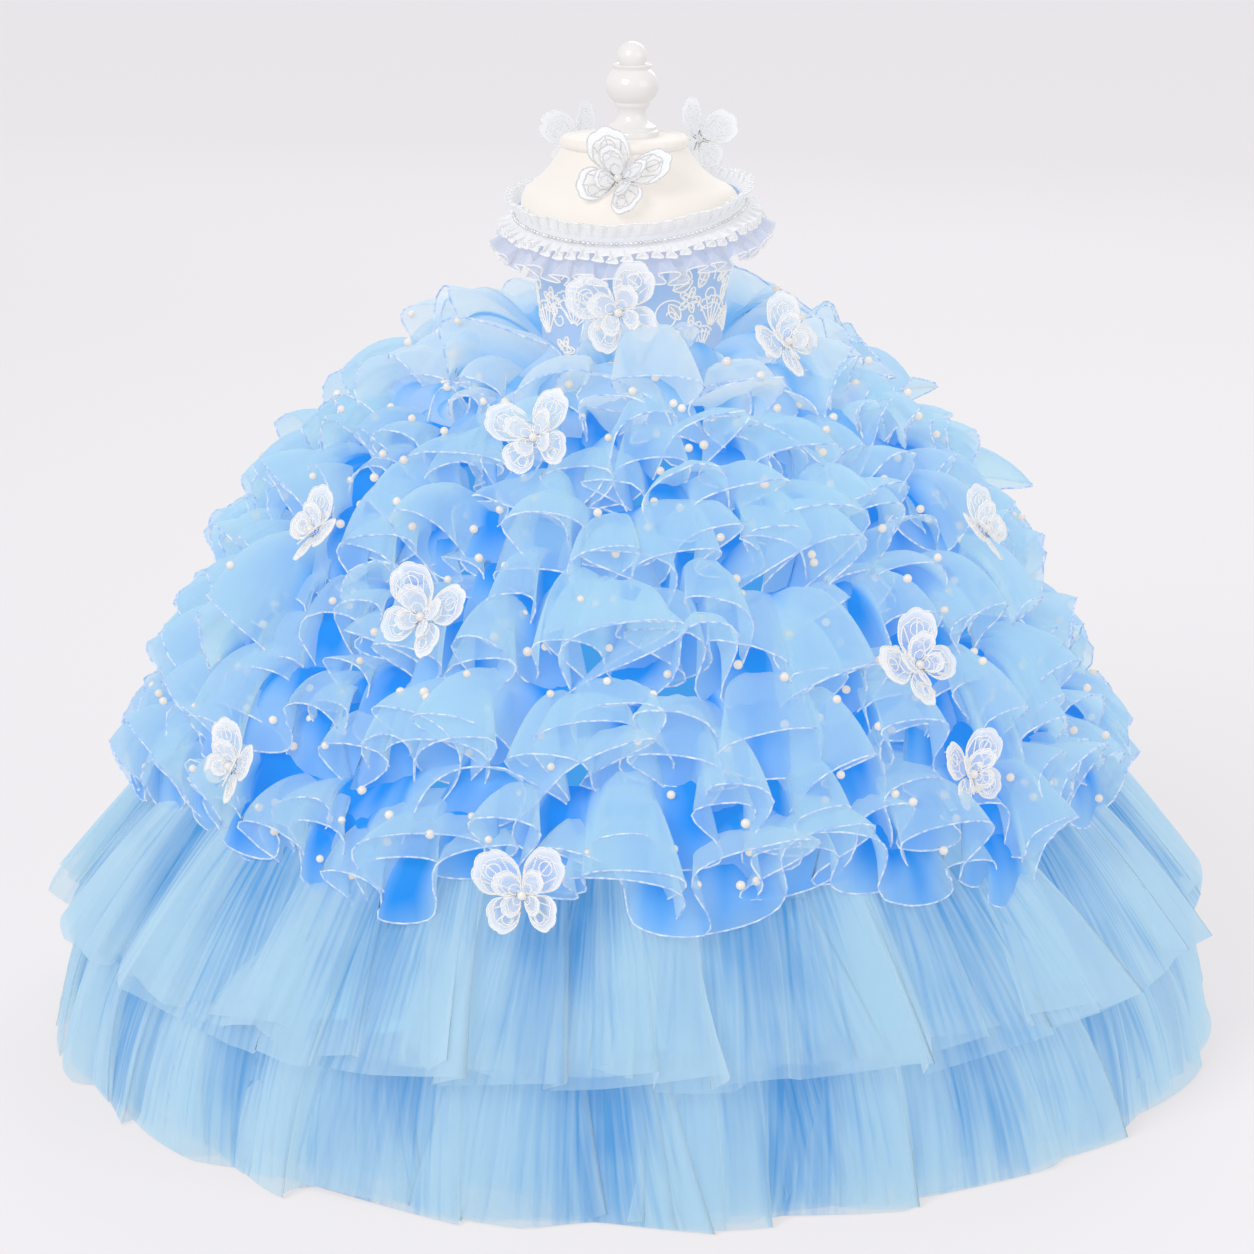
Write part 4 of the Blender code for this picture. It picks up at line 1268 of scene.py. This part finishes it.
for frill in FRILLS:
    finish = FRILL_FINISHES[frill.name]
    columns = frill.waves * finish.finer * COLUMNS_PER_FRILL_WAVE
    base = frill_base(frill, finish.finer, columns, FRILL_ROWS)
    strip, grid = gathered(
        frill.name + "_cloth", base, FRILL_ROWS, finish.material, rows_go_down=frill.upward < 0,
        Depth=finish.depth,
        Sway=finish.sway,
        Ripple=FRILL_RIPPLE,
        Droop=FRILL_DROOP,
        Wrinkle=0.0,
    )
    finish_piece(strip, finish.slot, frill.name)
    edging = cord_object(frill.name + "_edge", [grid[-1]], FRILL_CORD_RADIUS, white_cord)
    finish_piece(edging, finish.slot)
    declare_sheet(strip, grid)
print("frills", len(FRILLS))

# %% Band and beads at the neckline
BAND_TOP = 1.0
BAND_BOTTOM = 12.0
BEADS = 150
BEAD_RADIUS = 1.2
BEAD_BELOW_EDGE = 4.5
BEAD_OFF_CLOTH = 1.4
band_turn = even_turns(240)
band_z = neckline(band_turn)[None, :] - np.linspace(BAND_TOP, BAND_BOTTOM, 4)[:, None]
band_grid = on_bust(band_turn[None, :], band_z, FRILL_OUTWARD + 0.2)
neckline_band = sheet_object("neckline_band", band_grid, lace)
finish_piece(neckline_band, "lace")
declare_sheet(neckline_band, band_grid)

bead_turn = even_turns(BEADS)
bead_z = neckline(bead_turn) - BEAD_BELOW_EDGE
bead_places = on_bust(bead_turn, bead_z, FRILL_OUTWARD + BEAD_OFF_CLOTH)
bead_row = pearls_object("neckline_beads", bead_places, BEAD_RADIUS, silver, 0.2)
finish_piece(bead_row, "white_gloss")
print("beads", BEADS)

# %% [markdown]
# ## Butterflies
# Each butterfly has two layers of lace wings, cut out along their cords and sewn on at the middle with a
# pearl. The wings are drawn once in shares of the span, and each butterfly is turned the way that its
# solid faces. Its solid's own points say where it lies.

# %% Wings
UPPER_WING = [(88.0, 0.26), (70.0, 0.46), (53.0, 0.53), (36.0, 0.52), (20.0, 0.45), (4.0, 0.32)]
LOWER_WING = [(1.0, 0.26), (-16.0, 0.34), (-38.0, 0.39), (-58.0, 0.41), (-78.0, 0.30)]
UPPER_ROOT = (0.015, 0.02)
LOWER_ROOT = (0.015, -0.02)
WING_POINTS = 36
SCALLOP = 0.05
RINGS = (0.12, 0.42, 0.72, 0.86, 1.0)
CORDED_RINGS = (0.42, 0.82, 1.0)
VEINS = (7, 13, 18, 23, 29)
CLEARANCE = 3.5
WING_CORD_RADIUS = 0.42
HEART_RADIUS = 2.6
HEART_UP = 3.8
WingLayer = namedtuple("WingLayer", "scale height lift")
WING_LAYERS = [WingLayer(1.12, 0.38, 0.0), WingLayer(0.62, 0.8, 1.8)]


def wing_outline(reaches, root):
    """A closed wing through its reaches and its root, rounded, with a scalloped outer edge."""
    corners = [root]
    for angle, share in reaches:
        corners.append((share * math.cos(math.radians(angle)), share * math.sin(math.radians(angle))))
    chain = cut_corners(np.array(corners + [root]), 2)
    along = lengths_along(chain)
    even = np.linspace(0.0, along[-1], WING_POINTS, endpoint=False)
    wing = np.stack([np.interp(even, along, chain[:, i]) for i in (0, 1)], -1)
    away = wing - np.asarray(root)
    reach = np.linalg.norm(away, axis=1)
    scallops = np.abs(np.sin(np.linspace(0.0, 7 * math.pi, WING_POINTS)))
    longer = 1.0 + SCALLOP * scallops * (reach / reach.max()) ** 2
    return np.asarray(root) + away * longer[:, None]


WINGS = [
    (wing_outline(UPPER_WING, UPPER_ROOT), UPPER_ROOT),
    (wing_outline(LOWER_WING, LOWER_ROOT), LOWER_ROOT),
]


def raised(flat, span, height, lift):
    """Flat wing points, in shares of the span, laid in their shallow V."""
    x, y = flat[:, 0] * span, flat[:, 1] * span
    return np.stack([x, y, height * np.abs(x) + lift], -1)


def wing_lines(hub, outline, large):
    """The cords of one wing: rings that follow its edge and, where it is large, veins and a round eye."""
    lines = [hub + (outline - hub) * ring for ring in CORDED_RINGS]
    if not large:
        return lines
    there_and_back = np.concatenate([np.linspace(0.42, 0.82, 4), np.linspace(0.80, 0.44, 4)])[:, None]
    lines += [hub + (outline[k] - hub) * there_and_back for k in VEINS]
    tip = outline[np.argmax(np.linalg.norm(outline - hub, axis=1))]
    eye = even_turns(14)
    reach = 0.13 * np.linalg.norm(tip - hub)
    lines.append(hub + (tip - hub) * 0.62 + reach * np.stack([np.cos(eye), np.sin(eye)], -1))
    return lines


def butterfly_pieces(butterfly):
    """The wings, the cords on them and the pearl at the middle, laid where the solid lies."""
    facing, centre = PLACES[butterfly.name]
    centre = centre + facing @ (0.0, 0.0, CLEARANCE if "skirt" in butterfly.name else 0.0)
    cords, vertices, faces, shares = [], [], [], []
    for layer in WING_LAYERS:
        for side in (1.0, -1.0):
            for outline, root in WINGS:
                mirrored = (outline * (side, 1.0)) * layer.scale
                hub = np.array(root) * (side, 1.0) * layer.scale
                for line in wing_lines(hub, mirrored, layer.scale > 1.0):
                    cords.append(raised(line, butterfly.span, layer.height, layer.lift))
                first = len(vertices)
                for ring in RINGS:
                    flat = hub + (mirrored - hub) * ring
                    vertices += raised(flat, butterfly.span, layer.height, layer.lift - 0.2).tolist()
                    shares += [ring] * WING_POINTS
                for k in range(len(RINGS) - 1):
                    for j in range(WING_POINTS):
                        a, b = first + k * WING_POINTS + j, first + k * WING_POINTS + (j + 1) % WING_POINTS
                        quad = (a, b, b + WING_POINTS, a + WING_POINTS)
                        faces.append(quad if side < 0 else quad[::-1])
    mesh = bpy.data.meshes.new(butterfly.name + "_wings")
    placed = (np.array(vertices) @ facing.T + centre) * MM
    mesh.from_pydata(placed.tolist(), [], faces)
    mesh.attributes.new("across", "FLOAT", "POINT").data.foreach_set("value", np.array(shares, np.float32))
    mesh.uv_layers.new(name="cloth")
    corner = np.empty(len(mesh.loops), np.int32)
    mesh.loops.foreach_get("vertex_index", corner)
    flat = (np.array(vertices)[corner, :2] * MM).reshape(-1).astype(np.float32)
    mesh.uv_layers["cloth"].data.foreach_set("uv", flat)
    mesh.shade_smooth()
    wings = new_object(butterfly.name + "_wings", mesh, wing_lace)
    finish_piece(wings, "lace", butterfly.name)
    thread = grey_cord if butterfly.name == "butterfly_chest" else white_cord
    placed_cords = [chain @ facing.T + centre for chain in cords]
    corded = cord_object(butterfly.name + "_cords", placed_cords, WING_CORD_RADIUS, thread, sides=4)
    finish_piece(corded, "lace")
    heart = facing @ np.array([0.0, 0.0, HEART_UP]) + centre
    sewn = pearls_object(butterfly.name + "_pearl", [heart], HEART_RADIUS, pearl)
    finish_piece(sewn, "white_gloss")


for butterfly in BUTTERFLIES:
    butterfly_pieces(butterfly)
print("butterflies", len(BUTTERFLIES))

# %% [markdown]
# ## Corded lace on the bodice
# The lace is drawn flat as scrolls, leaves, flowers and fans, a few lines each, and laid round the
# bodice by a table. Every line becomes a cord, and a thin lace patch fills each closed outline.

# %% Motifs
CORD_RADIUS = 0.5
PATCH_HEIGHT = 0.6
MOTIF_SCALE = 1.35
MEAN_RADIUS = 56.0
LACE_BELOW_EDGE = 8.0


def scroll(size):
    t = np.linspace(0.0, 1.0, 40)
    angle = t * 2.1 * FULL_TURN * 0.62
    reach = size * (1.0 - 0.86 * t)
    return [np.stack([reach * np.cos(angle), reach * np.sin(angle)], -1)], None


def leaf(size):
    t = np.linspace(0.0, 1.0, 14)
    width = 0.28 * size * np.sin(math.pi * t) ** 0.8
    upper, lower = np.stack([t * size, width], -1), np.stack([t * size, -width], -1)
    return [upper, lower, np.stack([t * size * 0.85, 0 * t], -1)], np.vstack([upper, lower[::-1]])


def flower(size):
    t = np.linspace(0.0, FULL_TURN, 60)
    reach = size * (0.72 + 0.28 * np.cos(5 * t))
    petals = np.stack([reach * np.cos(t), reach * np.sin(t)], -1)
    heart = np.stack([0.25 * size * np.cos(t[::4]), 0.25 * size * np.sin(t[::4])], -1)
    return [petals, petals * 0.66, heart], petals


def fan(size):
    lines = []
    for share in (1.0, 0.78):
        t = np.linspace(-0.9, 0.9, 40)
        reach = size * share * (1.0 + 0.06 * np.abs(np.sin(5 * t * math.pi / 0.9)))
        lines.append(np.stack([reach * np.sin(t), reach * np.cos(t)], -1))
    for angle in np.linspace(-0.8, 0.8, 6):
        t = np.linspace(0.12, 0.95, 8)
        lines.append(np.stack([size * t * math.sin(angle), size * t * math.cos(angle)], -1))
    return lines, np.vstack([lines[0], [(0.0, 0.1 * size)]])


Motif = namedtuple("Motif", "draw turn z size roll")
MOTIFS = [
    Motif(scroll, 27, 483, 8.0, 200), Motif(leaf, 22, 474, 11.0, -20), Motif(leaf, 24, 462, 10.0, 20),
    Motif(flower, 36, 455, 6.0, 0), Motif(leaf, 42, 462, 9.0, 60), Motif(scroll, 47, 470, 6.5, -30),
    Motif(fan, 55, 436, 14.0, -12), Motif(flower, 38, 437, 6.5, 20), Motif(leaf, 68, 450, 10.0, 80),
    Motif(scroll, 74, 462, 6.0, 90), Motif(leaf, 16, 432, 10.0, 10), Motif(fan, 78, 430, 11.0, 8),
    Motif(scroll, -24, 486, 6.0, 10), Motif(flower, -33, 478, 5.5, 30), Motif(leaf, -38, 468, 11.0, 100),
    Motif(leaf, -46, 466, 11.0, 75), Motif(fan, -38, 438, 16.0, -8), Motif(scroll, -27, 456, 7.0, 150),
    Motif(flower, -57, 452, 6.5, 10), Motif(fan, -64, 430, 15.0, 14), Motif(leaf, -62, 470, 10.0, 110),
    Motif(scroll, -73, 462, 6.5, 40), Motif(leaf, -80, 445, 10.0, 95), Motif(leaf, -20, 430, 10.0, 160),
    Motif(scroll, 22, 446, 8.0, 40), Motif(leaf, 30, 444, 9.0, 130), Motif(scroll, 44, 482, 6.5, 120),
    Motif(leaf, 52, 480, 9.0, 30), Motif(scroll, 52, 456, 6.5, 200), Motif(flower, 65, 468, 5.0, 0),
    Motif(flower, 8, 426, 6.0, 40), Motif(scroll, -7, 428, 6.5, 90), Motif(leaf, 24, 424, 10.0, 20),
    Motif(fan, 48, 424, 10.0, 10), Motif(leaf, -48, 484, 9.0, 20), Motif(scroll, -58, 486, 6.0, 60),
    Motif(flower, -47, 424, 6.0, 0), Motif(scroll, -50, 442, 6.0, 10), Motif(flower, -26, 442, 5.0, 0),
]


def laid_on_bodice(lines, motif, flip, extra_turn, height):
    """Flat lines, turned by the motif's roll and laid at this height on the bodice."""
    roll = math.radians(motif.roll)
    turned_to = np.array([[math.cos(roll), math.sin(roll)], [-math.sin(roll), math.cos(roll)]])
    laid = []
    for line in lines:
        flat = line @ turned_to
        turn = extra_turn + flip * (math.radians(motif.turn) + flat[:, 0] / MEAN_RADIUS)
        z = np.clip(motif.z + flat[:, 1], WAIST + 1.0, neckline(turn) - LACE_BELOW_EDGE)
        laid.append(on_bust(turn, z, BODICE_OUTWARD + height))
    return laid


def patch_object(name, outlines):
    """Lace patches, each a fan of faces round the middle of its outline."""
    vertices, faces = [], []
    for outline in outlines:
        first = len(vertices)
        vertices += [outline.mean(0).tolist()] + outline.tolist()
        count = len(outline)
        faces += [(first, first + 1 + k, first + 1 + (k + 1) % count) for k in range(count)]
    mesh = bpy.data.meshes.new(name)
    mesh.from_pydata((np.array(vertices) * MM).tolist(), [], faces)
    mesh.uv_layers.new(name="cloth")
    mesh.attributes.new("across", "FLOAT", "POINT")
    mesh.shade_smooth()
    return new_object(name, mesh, lace_patch)


for name, flip, extra_turn in (("front", 1.0, 0.0), ("back", -1.0, math.pi)):
    lines, outlines = [], []
    for motif in MOTIFS:
        drawn, outline = motif.draw(motif.size * MOTIF_SCALE)
        lines += laid_on_bodice(drawn, motif, flip, extra_turn, PATCH_HEIGHT + CORD_RADIUS)
        if outline is not None:
            outlines += laid_on_bodice([outline], motif, flip, extra_turn, PATCH_HEIGHT)
    patches = patch_object(f"bodice_{name}_lace_patches", outlines)
    finish_piece(patches, "lace")
    corded = cord_object(f"bodice_{name}_lace", lines, CORD_RADIUS, white_cord, closed=False)
    finish_piece(corded, "lace")
print("motifs", 2 * len(MOTIFS))
